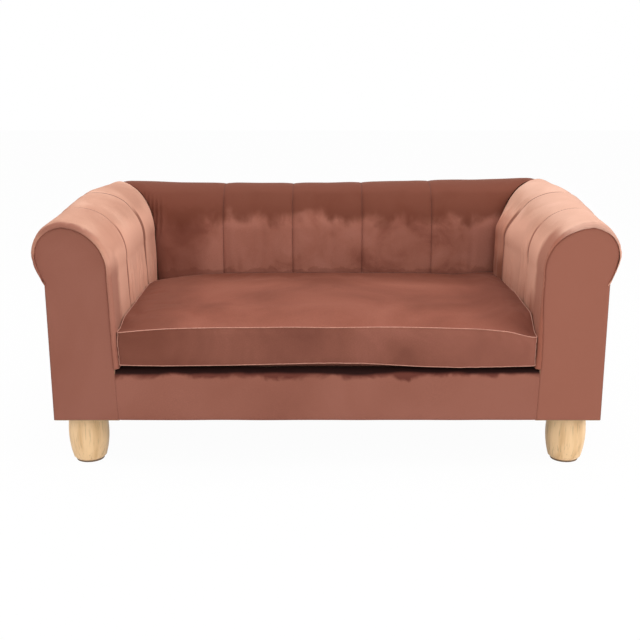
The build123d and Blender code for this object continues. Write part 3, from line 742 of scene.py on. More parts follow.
def fill_arm(pad, word):
    """Make the roll fuller towards the back. Behind the last seam points slide along, so the mitre holds."""
    rows = growth_rows(arm_thickness)
    last_seam = arm_seams[-1] + seam_half
    for v in pad.data.vertices:
        if v.co.z > spring_z:
            outward = abs(v.co.x) - inner_x
            full = step_along(arm_fuller[word], v.co.y)
            wider, higher = nearest_growth(rows, outward, v.co.z)
            share = max(0.0, (v.co.y - last_seam) / (corner_y(outward) - last_seam))
            v.co += Vector((sides[word] * wider * full, corner_slope * wider * full * share, higher * full))


def seam_shift(side, outward, z):
    """How far the facing's seam wanders from an even border: out on the outer side, in on the right arm."""
    shift = (3.5 if side < 0 else 1.5) * MM * smooth((outward - 0.06) / 0.05)
    shift += 3 * MM * smooth((outward - 0.06) / 0.03) * smooth((0.305 - z) / 0.02)
    if side > 0:
        shift -= 5 * MM * smooth((0.06 - outward) / 0.04) * smooth((z - 0.17) / 0.11)
    return shift


def ring_resize(piece, side, y, old_inset, new_inset):
    """Make the selected outline smaller: its width about its middle, then its crest about the spring."""
    half = arm_thickness / 2
    middle = side * (inner_x + half)
    narrower = (half - new_inset) / (half - old_inset)
    bpy.ops.transform.resize(value=(narrower, 1, 1), center_override=(middle, y, spring_z))
    choose(piece, "VERT", lambda v: near(v.co.y, y) and v.co.z > spring_z)
    rise = crest_z - spring_z
    lower = (rise - new_inset) / (rise - old_inset)
    bpy.ops.transform.resize(value=(1, 1, lower), center_override=(middle, y, spring_z))
    choose(piece, "VERT", lambda v: near(v.co.y, y))


def draw_lip(pad, side):
    """Pull the front outline forward in small steps, each drawn in a little more, and at last back inside."""
    choose(pad, "VERT", lambda v: near(v.co.y, full_y))
    steps = [(lip_depth * math.sin(a), lip_width * (1 - math.cos(a))) for a in quarter_turn]
    steps += [(lip_depth - 0.8 * MM, 7.9 * MM), (lip_depth - 3.2 * MM, 8.3 * MM)]
    y, inset = full_y, 0.0
    for forward, new_inset in steps:
        new_y = full_y - forward
        pull((0.0, new_y - y, 0.0))
        ring_resize(pad, side, new_y, inset, new_inset)
        share = side * (new_inset - inset) / lip_width
        nudge(pad, lambda co: co + Vector((share * seam_shift(side, abs(co.x) - inner_x, co.z), 0.0, 0.0)))
        y, inset = new_y, new_inset


def draw_arm_pad(word):
    """The plain form of one arm pad, with its lip at the front and its mitre at the rear."""
    side = sides[word]
    line = [Vector((side * (inner_x + t), full_y, z)) for t, z in roll_line(arm_thickness, seat_level)]
    pad = draw_line(f"arm_pad_{word}", line)
    pull_pad(pad, 1, full_y, arm_seams, inner_y, lambda v: v.co.y > inner_y - 1e-5, mitred_arm, 70)
    draw_lip(pad, side)
    bpy.ops.object.mode_set(mode="OBJECT")
    face_outward(pad, (side * (inner_x + crest_share * arm_thickness), -0.1, crest_z), (0, 0, 1))
    fill_arm(pad, word)
    return pad


arm_pads = {word: draw_arm_pad(word) for word in sides}
print("arm pad points", len(arm_pads["right"].data.vertices))

# %% Sew the channels and wrinkle the arms
arm_folds = {
    -1: scatter_folds(11, 16, (-0.125, 0.105), (0.15, 0.2), (0.07, 0.15), (0.0026, 0.0042), (0.0007, 0.0017))
    + scatter_folds(12, 7, (-0.22, -0.12), (0.15, 0.19), (0.05, 0.12), (0.0025, 0.004), (0.0004, 0.001)),
    1: scatter_folds(21, 16, (-0.13, 0.105), (0.15, 0.22), (0.08, 0.17), (0.0026, 0.0042), (0.0006, 0.0014))
    + scatter_folds(22, 5, (-0.22, -0.13), (0.15, 0.19), (0.05, 0.12), (0.0025, 0.004), (0.0004, 0.0009)),
}
square_to_arm = 0.63  # the part of a distance backwards that lies square to the corner seam


def arm_bulge(y, z, to_corner):
    """How far the right arm's padding swells over the cushion towards the rear."""
    high = smooth((z - 0.203) / 0.02) * smooth((0.35 - z) / 0.045)
    return 11 * MM * high * smooth((y + 0.12) / 0.17) * smooth(to_corner / 0.022)


def arm_surface(side):
    """The channels, corner seam, folds and small puckers of one arm, as a depth at a place."""
    def depth(co):
        outward = abs(co.x) - inner_x
        taut = 1.0 - 0.5 * smooth((co.z - 0.35) / 0.02)
        total = taut * sum(seam_dip(co.y - seam, 0.5 * MM) for seam in arm_seams)
        to_corner = (corner_y(outward) - co.y) * square_to_arm
        total -= 3.4 * MM * max(0.0, 1.0 - to_corner / (11 * MM)) ** 2
        total += 1.4 * MM * smooth(to_corner / 0.012) * smooth((0.045 - to_corner) / 0.03)
        if outward < 0.06:
            total += 2.4 * fold_depth(co.y, co.z, arm_folds[side])
        lip = smooth((front_y + 0.022 - co.y) / 0.02)
        total += 0.7 * MM * lip * noise.noise(Vector((co.x * 170, 3.0 * side, co.z * 170)))
        total += 0.8 * MM * noise.noise(co * 22.0)
        if side > 0:
            if outward < 0.05:
                total += arm_bulge(co.y, co.z, to_corner)
            total -= 2.4 * MM * smooth((outward - 0.085) / 0.03) * smooth((-0.1 - co.y) / 0.1)
        return total * smooth((co.y - front_y) / 0.002 + 0.35)
    return depth


for word, pad in arm_pads.items():
    shape(pad, arm_surface(sides[word]))
    dress(pad, velvet_of["arm"])
    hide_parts(f"arm_cover_{word}", f"arm_foam_{word}")
print("arm box", [round(v, 4) for v in arm_pads["right"].bound_box[6]])

# %% [markdown]
# ## The back pad
# The back is the same roll laid the other way, with five channels. It is pulled from one corner to the other,
# so both of its ends are moved onto the corner seams. Its corner channels are drawn in where they dive behind
# the arms, and the left one is gathered.

# %% Draw the back pad
back_fuller = [(-0.4, 0.3), (-0.33, 0.15), (-0.24, 0.0), (0.0, 0.0), (0.1, 0.25), (0.2, 0.55), (0.33, 0.65),
               (0.42, 0.8)]


def corner_x(inward):
    """Where the corner seam lies beside a point this far behind the back's face."""
    return inner_x + inward / corner_slope


def mitred_back(co):
    """A point at one end of the back, moved onto the corner seam."""
    return Vector((math.copysign(corner_x(co.y - inner_y), co.x), co.y, co.z))


def fill_back(pad):
    """Make the roll fuller where the right half is, and near both corners as full as the arm beside it."""
    rows = growth_rows(back_thickness)
    last_seam = back_seams[-1] + seam_half
    for v in pad.data.vertices:
        if v.co.z > spring_z:
            outward, word = v.co.y - inner_y, "left" if v.co.x < 0 else "right"
            corner = corner_x(outward)
            beside = smooth(1.0 - (corner - abs(v.co.x)) / 0.09)
            at_corner = step_along(arm_fuller[word], v.co.y)
            full = beside * at_corner + (1.0 - beside) * step_along(back_fuller, v.co.x)
            wider, higher = nearest_growth(rows, outward, v.co.z)
            share = max(0.0, (abs(v.co.x) - last_seam) / (corner - last_seam))
            v.co += Vector((sides[word] * wider / corner_slope * full * share, wider * full, higher * full))


def draw_back_pad():
    """The plain form of the back pad, with a mitre at each end."""
    line = [Vector((-inner_x, inner_y + t, z)) for t, z in roll_line(back_thickness, seat_level)]
    pad = draw_line("back_pad", line)
    pull_pad(pad, 0, -inner_x, back_seams, inner_x, lambda v: abs(v.co.x) > inner_x - 1e-5, mitred_back, 48)
    bpy.ops.object.mode_set(mode="OBJECT")
    face_outward(pad, (0.0, inner_y + crest_share * back_thickness, crest_z), (0, 0, 1))
    fill_back(pad)
    return pad


back_pad = draw_back_pad()
print("back pad points", len(back_pad.data.vertices))

# %% Sew and gather the back
chance = random.Random(5)
channel_middles = [seam + 0.063 for seam in (-0.252, *back_seams)]
back_folds = [(middle + chance.uniform(-0.008, 0.008), 0.19 + chance.uniform(0, 0.02), 0.34,
               0.005, 0.0007, 0.004) for middle in channel_middles]
back_folds += scatter_folds(31, 14, (-0.29, 0.29), (0.16, 0.2), (0.06, 0.14), (0.003, 0.006),
                            (0.0003, 0.0009))
corner_gathers = [(-0.336 + 0.0078 * k, 0.302 - 0.004 * k, 0.374 - 0.002 * k, 0.0024, 0.0026, 0.003)
                  for k in range(5)]
square_to_back = 0.77  # the part of a distance sideways that lies square to the corner seam


def back_surface(co):
    """The channels, corner seams, folds and gathers of the back, as a depth at a place."""
    inward = co.y - inner_y
    taut = 1.0 - 0.7 * smooth((co.z - 0.35) / 0.02)
    total = taut * sum(seam_dip(co.x - seam, 2.2 * MM) for seam in back_seams)
    to_corner = (corner_x(inward) - abs(co.x)) * square_to_back
    total -= 4.6 * MM * max(0.0, 1.0 - to_corner / (16 * MM)) ** 2
    total += 1.3 * MM * smooth(abs(co.x) / 0.1 - 2.6) * smooth((co.z - 0.33) / 0.04)
    if inward < 0.1:
        total += fold_depth(co.x, co.z, back_folds + corner_gathers)
    total += 0.9 * MM * noise.noise(co * 17.0)
    return total


shape(back_pad, back_surface)
dress(back_pad, velvet_of["back"])
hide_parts("back_cover", "back_foam")
print("back box top", round(max(v.co.z for v in back_pad.data.vertices), 4))

# %% [markdown]
# ## Seam lines
# A seam shows as a thin dark line at the bottom of its valley, where the shade gathers. The line is a copy of
# the pad's own edge loop, turned into a curve and given the thickness of thread, so it follows every fold of
# the cloth. Its dark colour is painted shade.

# %% Lay thread in the seams
def thread_along(piece, name, finish, thickness, wanted, body="frame"):
    """Copy the edges that pass a test off a piece and turn them into a thread."""
    take(piece)
    bpy.ops.object.mode_set(mode="EDIT")
    choose(piece, "EDGE", wanted)
    bpy.ops.mesh.duplicate()
    bpy.ops.mesh.separate(type="SELECTED")
    bpy.ops.object.mode_set(mode="OBJECT")
    thread = next(o for o in bpy.context.selected_objects if o != piece)
    for key in [k for k in thread.keys() if k.startswith("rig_")]:
        del thread[key]
    thread.parent = None
    thread.name = thread.data.name = name
    take(thread)
    bpy.ops.object.convert(target="CURVE")
    thread.data.bevel_depth = thickness
    thread.data.bevel_resolution = 1
    bpy.ops.object.convert(target="MESH")
    dress(thread, finish, body)
    print(name, len(thread.data.vertices), "points")


def at_place(axis, place):
    """A test for edges that lie at one place along an axis."""
    return lambda edge: all(near(v.co[axis], place, 0.6 * MM) for v in edge.verts)


for word, pad in arm_pads.items():
    for count, seam in enumerate(arm_seams):
        thickness = (0.45 + 0.3 * count) * MM
        thread_along(pad, f"arm_seam_{word}_{count + 1}", seam_thread, thickness, at_place(1, seam))
for count, seam in enumerate(back_seams):
    thread_along(back_pad, f"back_seam_{count + 1}", seam_thread, 0.45 * MM, at_place(0, seam))

# %% [markdown]
# ## The facings
# A facing is the flat front of an arm: a thin board in velvet, set just behind the lip of the roll. It could
# be a plain flat face, but cloth over a board has a soft shoulder all round. So the outline is filled with
# one face, and that face is inset a few times, each time a little further forward.

# %% Cut and pad a facing
facing_y = -260 * MM
facing_back = 2.2 * MM
border_y = facing_y + facing_back
foot_drop = 0.6 * MM


def draw_facing(word):
    """A facing with rounded borders, a lip's width inside the roll's outline. At the notch it slips under."""
    side = sides[word]
    most = (6.4 if side < 0 else 5.2) * MM
    line = []
    for t, z in roll_line(arm_thickness, foot_top, 6.6 * MM, 0.006):
        slip = 2.2 * MM * smooth((t - 0.06) / 0.03) * smooth((0.318 - z) / 0.016)
        line.append((t + min(most, seam_shift(side, t, z) + slip), z))
    line[-1:] = [(side_x - inner_x, notch_z - foot_drop), (side_x - inner_x, foot_top)]
    facing = draw_line(f"arm_facing_{word}", [Vector((side * (inner_x + t), border_y, z)) for t, z in line])
    bpy.ops.mesh.edge_face_add()
    net = bmesh.from_edit_mesh(facing.data)
    if next(iter(net.faces)).normal.y > 0:
        bpy.ops.mesh.flip_normals()
    choose_all("FACE")
    for width, forward in ((0.7, 1.1), (0.9, 0.7), (1.4, 0.45), (0.5, 0.0)):
        bpy.ops.mesh.inset(thickness=width * MM, depth=forward * MM)
    choose(facing, "EDGE", lambda edge: all(near(v.co.y, border_y) for v in edge.verts))
    pull((0.0, 2.5 * MM, 0.0))
    bpy.ops.object.mode_set(mode="OBJECT")
    return facing


def facing_edge(edge):
    """True for the facing's border where it meets the roll and the band, not its outer side or its foot."""
    if not all(near(v.co.y, border_y) for v in edge.verts):
        return False
    middle = (edge.verts[0].co + edge.verts[1].co) / 2
    return middle.z > foot_top + 0.001 and not (abs(middle.x) > side_x - 0.004 and middle.z < notch_z)


for word in sides:
    facing = draw_facing(word)
    dress(facing, velvet_of["plain"])
    max(facing.data.polygons, key=lambda face: face.area).use_smooth = False
    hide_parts(f"arm_facing_cover_{word}")
    thread_along(facing, f"facing_seam_{word}", seam_thread, 0.6 * MM, facing_edge)

# %% [markdown]
# ## The outside cloths
# The outer sides and the back are plain velvet panels, pulled tight over thin boards and folded under at the
# foot. A flat box would do from far away. Here each is a fine grid with a slight belly and slow waves, its
# edges are turned in, and Solidify gives it the thickness of cloth.

# %% Hang an outside cloth
side_foot, side_top = foot_top + 0.2 * MM, notch_z - 0.4 * MM
side_middle_z, side_height = (side_foot + side_top) / 2, side_top - side_foot
side_front, side_rear = -258.6 * MM, back_y - 0.2 * MM


def hang_cloth(name, stands_for, place, size, turn, outward, bulge):
    """A grid of cloth that stands on its edge, with its foot, top and ends turned in and a slight belly."""
    cloth = lay_grid(name, place, size, columns=96, rows=40, turn=turn)
    bpy.ops.object.mode_set(mode="EDIT")
    choose_all("EDGE")
    bpy.ops.mesh.region_to_loop()
    middle = Vector(place)
    across = [axis for axis in range(3) if not outward[axis]]

    def drawn_in(co, shrink):
        for axis in across:
            co[axis] -= math.copysign(shrink * MM, co[axis] - middle[axis])
        return co

    def belly(co):
        shares = [1 - min(1.0, abs(co[axis] - place[axis]) / (size[axis] / 2)) ** 4 for axis in across]
        return (bulge + 0.45 * noise.noise(co * 16.0)) * MM * shares[0] * shares[1]

    for shrink, back in ((0.6, 0.5), (0.3, 0.9), (0.2, 2.4)):
        pull(-Vector(outward) * back * MM)
        nudge(cloth, lambda co: drawn_in(co, shrink))
    bpy.ops.object.mode_set(mode="OBJECT")
    face_outward(cloth, place, outward)
    shape(cloth, belly)
    area = face_area(cloth)
    thicken(cloth, 0.9 * MM)
    dress(cloth, velvet_of["plain"])
    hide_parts(stands_for)
    return area


side_length = side_rear - side_front
for word, side in sides.items():
    place = (side * (side_x + 0.1 * MM), (side_front + side_rear) / 2, side_middle_z)
    hang_cloth(f"arm_outside_{word}", f"arm_outer_cover_{word}", place, (1, side_length, side_height),
               (0, math.pi / 2, 0), (side, 0, 0), bulge=0.8)
area = hang_cloth("back_outside", "back_outer_cover", (0.0, back_y, side_middle_z),
                  (2 * (side_x - 0.8 * MM), 1, side_height), (math.pi / 2, 0, 0), (0, 1, 0), bulge=0.9)
print("outside cloths hung, back area", round(area, 4))

# %% [markdown]
# ## The front band
# The rail between the arms has a thin pad and a band of velvet that folds over its top edge. The cushion
# hangs over it, and its shadow along the band's top edge is painted in, dark down to near black. The profile
# is drawn once and pulled across from facing to facing.

# %% Draw the front band
band_half = 312.3 * MM
band_face = -260 * MM
band_top = 157.4 * MM
band_round = 10 * MM
face_rows = 14
face_top, face_foot = band_top - band_round, 79.5 * MM
profile = [(-245 * MM, band_top), (band_face + band_round, band_top)]
profile += [(band_face + band_round * (1 - math.sin(a)), band_top - band_round * (1 - math.cos(a)))
            for a in quarter_turn]
profile += [(band_face, face_top + (face_foot - face_top) * k / face_rows) for k in range(1, face_rows + 1)]
profile += [(band_face + back * MM, z * MM) for back, z in ((0.8, 77.7), (2.6, 77.1), (12, 77.1))]
band = draw_line("front_band", [Vector((-band_half, y, z)) for y, z in profile])
pull((band_half, 0.0, 0.0))
pull((band_half, 0.0, 0.0))
split_band(band, 0, -band_half, 0.0, 70)
split_band(band, 0, 0.0, band_half, 70)
bpy.ops.object.mode_set(mode="OBJECT")
for v in band.data.vertices:
    v.co.x *= 1.0 + face_lean(arm_thickness, v.co.z) * smooth((-0.254 - v.co.y) / 0.004) / band_half
face_outward(band, (0.0, band_face, 0.12), (0, -1, 0))


def band_surface(co):
    """Slow waves, a soft sag along the top edge, and ends that tuck in beside the facings."""
    ends = smooth((band_half + face_lean(arm_thickness, co.z) - abs(co.x)) / (4 * MM))
    top = smooth((co.z - 0.14) / 0.012)
    waves = 0.6 * MM * noise.noise(co * 15.0) + 0.9 * MM * top * noise.noise(Vector((co.x * 13.0, 1.7, 0.0)))
    return ends * waves - (1.0 - ends) * 0.5 * MM


shape(band, band_surface)
dress(band, velvet_of["band"])
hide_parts("front_rail_cover", "front_rail_foam")
print("band points", len(band.data.vertices))

# %% [markdown]
# ## The loose cushion
# The cushion is a slab of foam in a boxed cover: a top panel, a strip round the sides and a bottom panel.
# Foam pushes the cover out everywhere but at the seams, which stay where they are sewn. That is what the
# cloth simulation does here: the seams are pinned, the cloth is cut a little too large, and air pressure
# fills it.

# %% Cut the cushion
cushion_half = 306.6 * MM
cushion_front = -261.2 * MM
cushion_rear = 117.1 * MM
cushion_low = 158.0 * MM
bottom_seam_z = 165.9 * MM
cushion_mid_y = (cushion_front + cushion_rear) / 2
cushion_depth = cushion_rear - cushion_front
corner_radius = 9 * MM
start_crown = 8 * MM
front_sag = [(-0.31, -1.7), (-0.243, -2.8), (-0.12, -0.8), (-0.03, 1.6), (0.05, 1.2), (0.13, -3.2),
             (0.2, -5.2), (0.26, -4.4), (0.31, -2.6)]


def fullness(x):
    """1 in the middle of the cushion, 0 at its ends."""
    return 1.0 - min(1.0, abs(x) / (307 * MM)) ** 4


def top_seam_z(x, y):
    """The height of the top seam. It is pushed up beside the arms, most on the right, and low at corners."""
    front, rear = smooth((0.0 - y) / 0.2), smooth(y / 0.1)
    beside_arm = smooth((abs(x) - 0.22) / 0.085) * smooth((y + 0.255) / 0.055)
    rise = (10.5 - 7.5 * rear if x < 0 else 17.0 - 7.0 * rear) * beside_arm
    right_corner = 2.5 * smooth((x - 0.2) / 0.1) + 4.5 * smooth((x - 0.262) / 0.04)
    drop = 1.8 * front + right_corner * smooth((-0.2 - y) / 0.045)
    if x < 0:
        drop += 8 * smooth((0.095 - math.hypot(0.307 + x, 0.117 - y)) / 0.085)
    ripple = 0.7 * noise.noise(Vector((x * 14.0, y * 14.0, 2.0)))
    return (214.9 + 9.0 * fullness(x) + rise - drop + ripple) * MM


def low_seam_z(x, y):
    """The height of the bottom seam, which hangs in shallow waves and sags at the front."""
    sag = step_along(front_sag, x) * smooth((-0.05 - y) / 0.15)
    return bottom_seam_z + (sag + 0.8 * noise.noise(Vector((x * 8.0, y * 8.0, 7.3)))) * MM


cushion_size = (2 * cushion_half, cushion_depth, 1)
cushion = lay_grid("cushion_cover", (0, cushion_mid_y, 0), cushion_size, columns=124, rows=76)
x_in, y_in = cushion_half - corner_radius, cushion_depth / 2 - corner_radius
for v in cushion.data.vertices:
    dx, dy = abs(v.co.x) - x_in, abs(v.co.y - cushion_mid_y) - y_in
    if dx > 0 and dy > 0:
        scale = max(dx, dy) / math.hypot(dx, dy)
        v.co.x = math.copysign(x_in + dx * scale, v.co.x)
        v.co.y = cushion_mid_y + math.copysign(y_in + dy * scale, v.co.y - cushion_mid_y)
    wider = 3 * MM * smooth((-0.24 - v.co.y) / 0.018) * smooth((abs(v.co.x) - 0.25) / 0.05)
    v.co.x += math.copysign(wider, v.co.x)
    across = 1 - (abs(v.co.y - cushion_mid_y) / (cushion_depth / 2)) ** 3
    lengthways = 1 - (abs(v.co.x) / cushion_half) ** 6
    v.co.z = top_seam_z(v.co.x, v.co.y) + start_crown * max(0.0, across) * max(0.0, lengthways)
print("top panel points", len(cushion.data.vertices))

# %% Pull the boxing down from the top panel
boxing_rows = 12


def boxing_point(co, share):
    """A point moved to its height in the boxing: 0 at the top seam and 1 at the bottom seam."""
    high, low = top_seam_z(co.x, co.y), low_seam_z(co.x, co.y)
    return Vector((co.x, co.y, high + (low - high) * share))


def bottom_point(co, share):
    """A point moved to its height under the bottom seam: 0 at the seam and 1 at the cushion's lowest."""
    seam = low_seam_z(co.x, co.y)
    return Vector((co.x, co.y, seam + (cushion_low - seam) * share))


take(cushion)
bpy.ops.object.mode_set(mode="EDIT")
choose_all("EDGE")
bpy.ops.mesh.region_to_loop()
bpy.ops.mesh.mark_seam(clear=False)
for row in range(1, boxing_rows + 1):
    pull((0.0, 0.0, -0.004))
    bpy.ops.mesh.mark_seam(clear=True)
    nudge(cushion, lambda co: boxing_point(co, row / boxing_rows))
bpy.ops.mesh.mark_seam(clear=False)
for inward, down in ((1.5, 0.05), (5.0, 0.12), (5.5, 0.4), (4.0, 1.0)):
    pull((0.0, 0.0, -0.001))
    bpy.ops.mesh.mark_seam(clear=True)
    bpy.ops.transform.resize(value=(1 - inward * MM / cushion_half, 1 - 2 * inward * MM / cushion_depth, 1),
                             center_override=(0, cushion_mid_y, 0))
    nudge(cushion, lambda co: bottom_point(co, down))
bpy.ops.object.mode_set(mode="OBJECT")
face_outward(cushion, (0, cushion_mid_y, 0.235), (0, 0, 1))
print("cushion points", len(cushion.data.vertices))

# %% Fill it with air
air_frames = 20


def seam_points(piece):
    """The vertices on marked seams."""
    return {index for edge in piece.data.edges if edge.use_seam for index in edge.vertices}


def fill_with_air(piece, pinned, pressure, extra, cap):
    """Run the cloth until the air has filled it and keep what it did, up to a cap."""
    flat = [v.co.copy() for v in piece.data.vertices]
    group = piece.vertex_groups.new(name="sewn")
    group.add(sorted(pinned), 1.0, "REPLACE")
    take(piece)
    bpy.ops.object.modifier_add(type="CLOTH")
    cloth = piece.modifiers["Cloth"]
    setting = cloth.settings
    setting.quality = 6
    setting.mass = 0.3
    setting.tension_stiffness = setting.compression_stiffness = 18.0
    setting.shear_stiffness = 8.0
    setting.bending_stiffness = 0.6
    setting.use_pressure = True
    setting.uniform_pressure_force = pressure
    setting.shrink_min = -extra
    setting.effector_weights.gravity = 0.0
    setting.vertex_group_mass = "sewn"
    cloth.collision_settings.use_collision = False
    scene = bpy.context.scene
    for count in range(1, air_frames + 1):
        scene.frame_set(count)
    bpy.ops.object.modifier_apply(modifier="Cloth")
    scene.frame_set(1)
    moved = 0.0
    for v, before in zip(piece.data.vertices, flat):
        step = v.co - before
        moved = max(moved, step.length)
        if step.length > cap:
            v.co = before + step * (cap / step.length)
    piece.vertex_groups.clear()
    print(piece.name, "moved up to", round(moved, 4))


below_seam = {v.index for v in cushion.data.vertices if v.co.z < low_seam_z(v.co.x, v.co.y) - 0.1 * MM}
fill_with_air(cushion, seam_points(cushion) | below_seam, pressure=4.0, extra=0.012, cap=0.012)

# %% Give the cushion its crown, gathers and creases
def crease_line(first, second, start, end, width, height):
    """The height of a soft ridge along a line between two places, seen in two coordinates."""
    run_a, run_b = end[0] - start[0], end[1] - start[1]
    length = math.hypot(run_a, run_b)
    share = ((first - start[0]) * run_a + (second - start[1]) * run_b) / length ** 2
    off = abs((first - start[0]) * run_b - (second - start[1]) * run_a) / length / width
    if not 0.0 < share < 1.0 or off > 3.0:
        return 0.0
    return height * smooth(share / 0.3) * smooth((1.0 - share) / 0.3) * math.exp(-off * off)


top_creases = [  # start and end across and along the cushion, width, height in mm
    ((-0.285, -0.2), (-0.225, -0.175), 0.005, 1.6), ((-0.29, -0.165), (-0.215, -0.15), 0.006, -1.2),
    ((-0.295, -0.235), (-0.24, -0.222), 0.004, 1.3), ((0.24, -0.245), (0.29, -0.2), 0.006, 1.0),
]
front_creases = [  # start and end across and up the boxing, width, height in mm
    ((0.07, 0.205), (0.14, 0.185), 0.006, 1.3), ((-0.29, 0.212), (-0.265, 0.19), 0.004, 1.2),
    ((0.27, 0.2), (0.296, 0.175), 0.005, 1.0), ((-0.1, 0.178), (-0.02, 0.186), 0.007, -0.7),
]


def cushion_surface(co):
    """Creases in the top, tucks in the boxing and gathers at the corners."""
    top, low = top_seam_z(co.x, co.y), low_seam_z(co.x, co.y)
    total = 0.9 * MM * noise.noise(co * 13.0)
    edge = min(cushion_half - abs(co.x), co.y - cushion_front, cushion_rear - co.y)
    near_corner = smooth((0.05 - math.hypot(cushion_half - abs(co.x), co.y - cushion_front)) / 0.04)
    gather = noise.noise(Vector((co.x * 190, co.y * 90, co.z * 60)))
    if co.z > top + 0.3 * MM:
        total += sum(crease_line(co.x, co.y, a, b, w, h * MM) for a, b, w, h in top_creases)
        at_edge = smooth((0.03 - edge) / 0.025) * smooth(edge / 0.004)
        total += (0.5 + 1.2 * near_corner) * MM * gather * at_edge
    elif co.z > low:
        middle = smooth((co.z - low) / 0.012) * smooth((top - co.z) / 0.012)
        if co.y < cushion_front + 6 * MM:
            total += middle * sum(crease_line(co.x, co.z, a, b, w, h * MM) for a, b, w, h in front_creases)
            total += middle * (1.4 * fullness(co.x) + 1.3 * near_corner * gather) * MM
    else:
        total = 0.0
    return total


def stay_clear(piece):
    """Keep the cushion out of the arms, the back and the deck."""
    foremost, rearmost = -263.6 * MM, 117.3 * MM
    for v in piece.data.vertices:
        ahead = max(0.0, min(1.0, (front_y + lip_depth - v.co.y) / lip_depth))
        round_lip = lip_width * (1 - math.sqrt(1 - ahead ** 2))
        limit = inner_x + face_lean(arm_thickness, v.co.z) - 1.1 * MM + round_lip
        squeezed = arm_bulge(v.co.y, v.co.z, max(0.0, (corner_y(0.003) - v.co.y) * square_to_arm))
        v.co.x = max(-limit, min(limit - squeezed, v.co.x))
        v.co.y = max(foremost, min(rearmost, v.co.y))
        v.co.z = max(cushion_low, v.co.z)


target_crown = 13 * MM
rise = max(v.co.z - top_seam_z(v.co.x, v.co.y) for v in cushion.data.vertices)
for v in cushion.data.vertices:
    over = v.co.z - top_seam_z(v.co.x, v.co.y)
    if over > 0:
        v.co.z += over * (target_crown / rise - 1.0)
shape(cushion, cushion_surface)
stay_clear(cushion)
print("crown before fitting", round(rise, 4))

# %% Lay its seams, make it finer and open the zip
zip_z = 190.9 * MM
zip_half = 210 * MM
half_way = 0.19
rear_from = 0.1


def top_seam(edge):
    """True for the top seam at the front and the sides."""
    return edge.seam and all(v.co.z > half_way and v.co.y < rear_from for v in edge.verts)


def rear_seam(edge):
    """True for the top seam along the rear."""
    high = all(v.co.z > half_way for v in edge.verts)
    return edge.seam and high and any(v.co.y >= rear_from for v in edge.verts)


def low_seam(edge):
    """True for the bottom seam."""
    return edge.seam and all(v.co.z < half_way for v in edge.verts)


def corner_seam(edge):
    """True for the upright edges of the boxing at the two front corners."""
    low, high = sorted(v.co.z for v in edge.verts)
    spot_x, spot_y = cushion_half - 0.6 * MM, cushion_front + 2.6 * MM
    at_spot = all(math.hypot(abs(v.co.x) - spot_x, v.co.y - spot_y) < 2.1 * MM for v in edge.verts)
    return high - low > 0.002 and at_spot and bottom_seam_z - 8 * MM < low < high < 0.222


def over_zip(face):
    """True for a face of the rear boxing that lies over the zip."""
    centre = face.calc_center_median()
    return centre.y > cushion_rear - 2 * MM and abs(centre.x) < zip_half and near(centre.z, zip_z, 4.5 * MM)


def in_boxing(face):
    """True for an upright face under the top seam."""
    centre = face.calc_center_median()
    return abs(face.normal.z) < 0.75 and centre.z < top_seam_z(centre.x, centre.y) + 0.2 * MM


dress(cushion, velvet_of["seat"], "cushion")
# The cushion's pale seam edges are painted highlight; its rear seam is dark thread as painted shade.
for name, finish, thickness, wanted in (
        ("cushion_top_edge", painted_highlight_edge, 0.7, top_seam), ("cushion_bottom_edge", painted_highlight_edge, 0.7, low_seam),
        ("cushion_rear_edge", seam_thread, 0.6, rear_seam),
        ("cushion_corner_edges", painted_highlight_edge, 0.6, corner_seam)):
    thread_along(cushion, name, finish, thickness * MM, wanted, "cushion")
take(cushion)
bpy.ops.object.mode_set(mode="EDIT")
choose(cushion, "EDGE", lambda edge: edge.seam)
bpy.ops.transform.edge_crease(value=1.0)
bpy.ops.object.mode_set(mode="OBJECT")
bpy.ops.object.modifier_add(type="SUBSURF")
cushion.modifiers["Subdivision"].levels = 1
bpy.ops.object.modifier_apply(modifier="Subdivision")
bpy.ops.object.mode_set(mode="EDIT")
choose(cushion, "EDGE", lambda edge: edge.is_boundary)
bpy.ops.mesh.edge_face_add()
bpy.ops.mesh.inset(thickness=0.02, depth=0.0)
choose(cushion, "FACE", over_zip)
bpy.ops.mesh.delete(type="FACE")
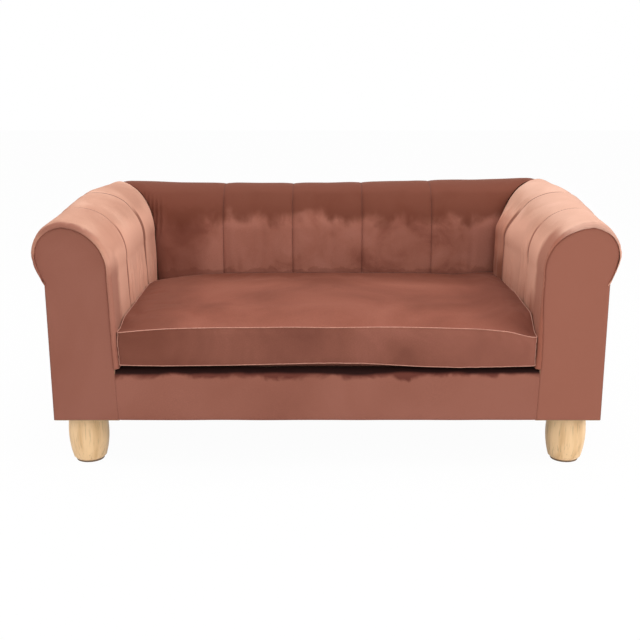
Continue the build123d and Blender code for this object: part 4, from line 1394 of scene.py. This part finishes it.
choose(cushion, "EDGE", lambda edge: edge.is_boundary)
pull((0.0, -0.7 * MM, 0.0))
cushion.data.materials.append(velvet_of["boxing"])
choose(cushion, "FACE", in_boxing)
bpy.context.object.active_material_index = 1
bpy.ops.object.material_slot_assign()
bpy.ops.object.mode_set(mode="OBJECT")
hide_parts("cushion_foam", "cushion_top", "cushion_bottom", "cushion_boxing")
print("cushion faces", len(cushion.data.polygons))

# %% [markdown]
# ## Cloth under the seat
# A dark lining covers the deck under the cushion, and a thin black cloth is stapled under the base to keep
# dust out. Both are pulled flat. The dust cloth sags a little between its staples, but not where the feet
# press on it.

# %% Stretch the linings
def lay_cloth(name, stands_for, low, high, sag, slot_name, thickness):
    """A flat grid of cloth between two corners that may sag in its middle."""
    place = tuple((a + b) / 2 for a, b in zip(low, high))
    size = (high[0] - low[0], high[1] - low[1], 1)
    cloth = lay_grid(name, place, size, columns=90, rows=60)
    for v in cloth.data.vertices:
        inside = [smooth((size[a] / 2 - abs(v.co[a] - place[a]) - 0.07) / 0.12) for a in (0, 1)]
        v.co.z -= sag * inside[0] * inside[1] * (1 + 0.4 * noise.noise(v.co * 9.0))
    thicken(cloth, thickness)
    dress(cloth, linings[slot_name])
    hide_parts(stands_for)


deck_z = 0.1576
base_z = 0.0778
lay_cloth("seat_lining", "deck_cloth", (-0.32, -0.244, deck_z), (0.32, 0.13, deck_z), 0.0,
          "deck_lining", 0.75 * MM)
lay_cloth("underside_cloth", "dust_cover", (-0.405, -0.256, base_z), (0.405, 0.2384, base_z), 2.0 * MM,
          "dust_cloth", 0.7 * MM)
print("linings laid")

# %% [markdown]
# ## The hard parts
# Feet, boards, screws and the zip keep their CAD shapes, which are right as they are. Each takes its finish
# from the record's slot of the same name.

# %% Finish the CAD parts
finished = 0
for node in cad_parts.values():
    for place, material in enumerate(node.data.materials):
        slot_name = material.name.split(".")[0]
        if not node.hide_render and slot_name in finishes:
            node.data.materials[place] = finishes[slot_name]
            finished += 1
print("CAD parts finished", finished)
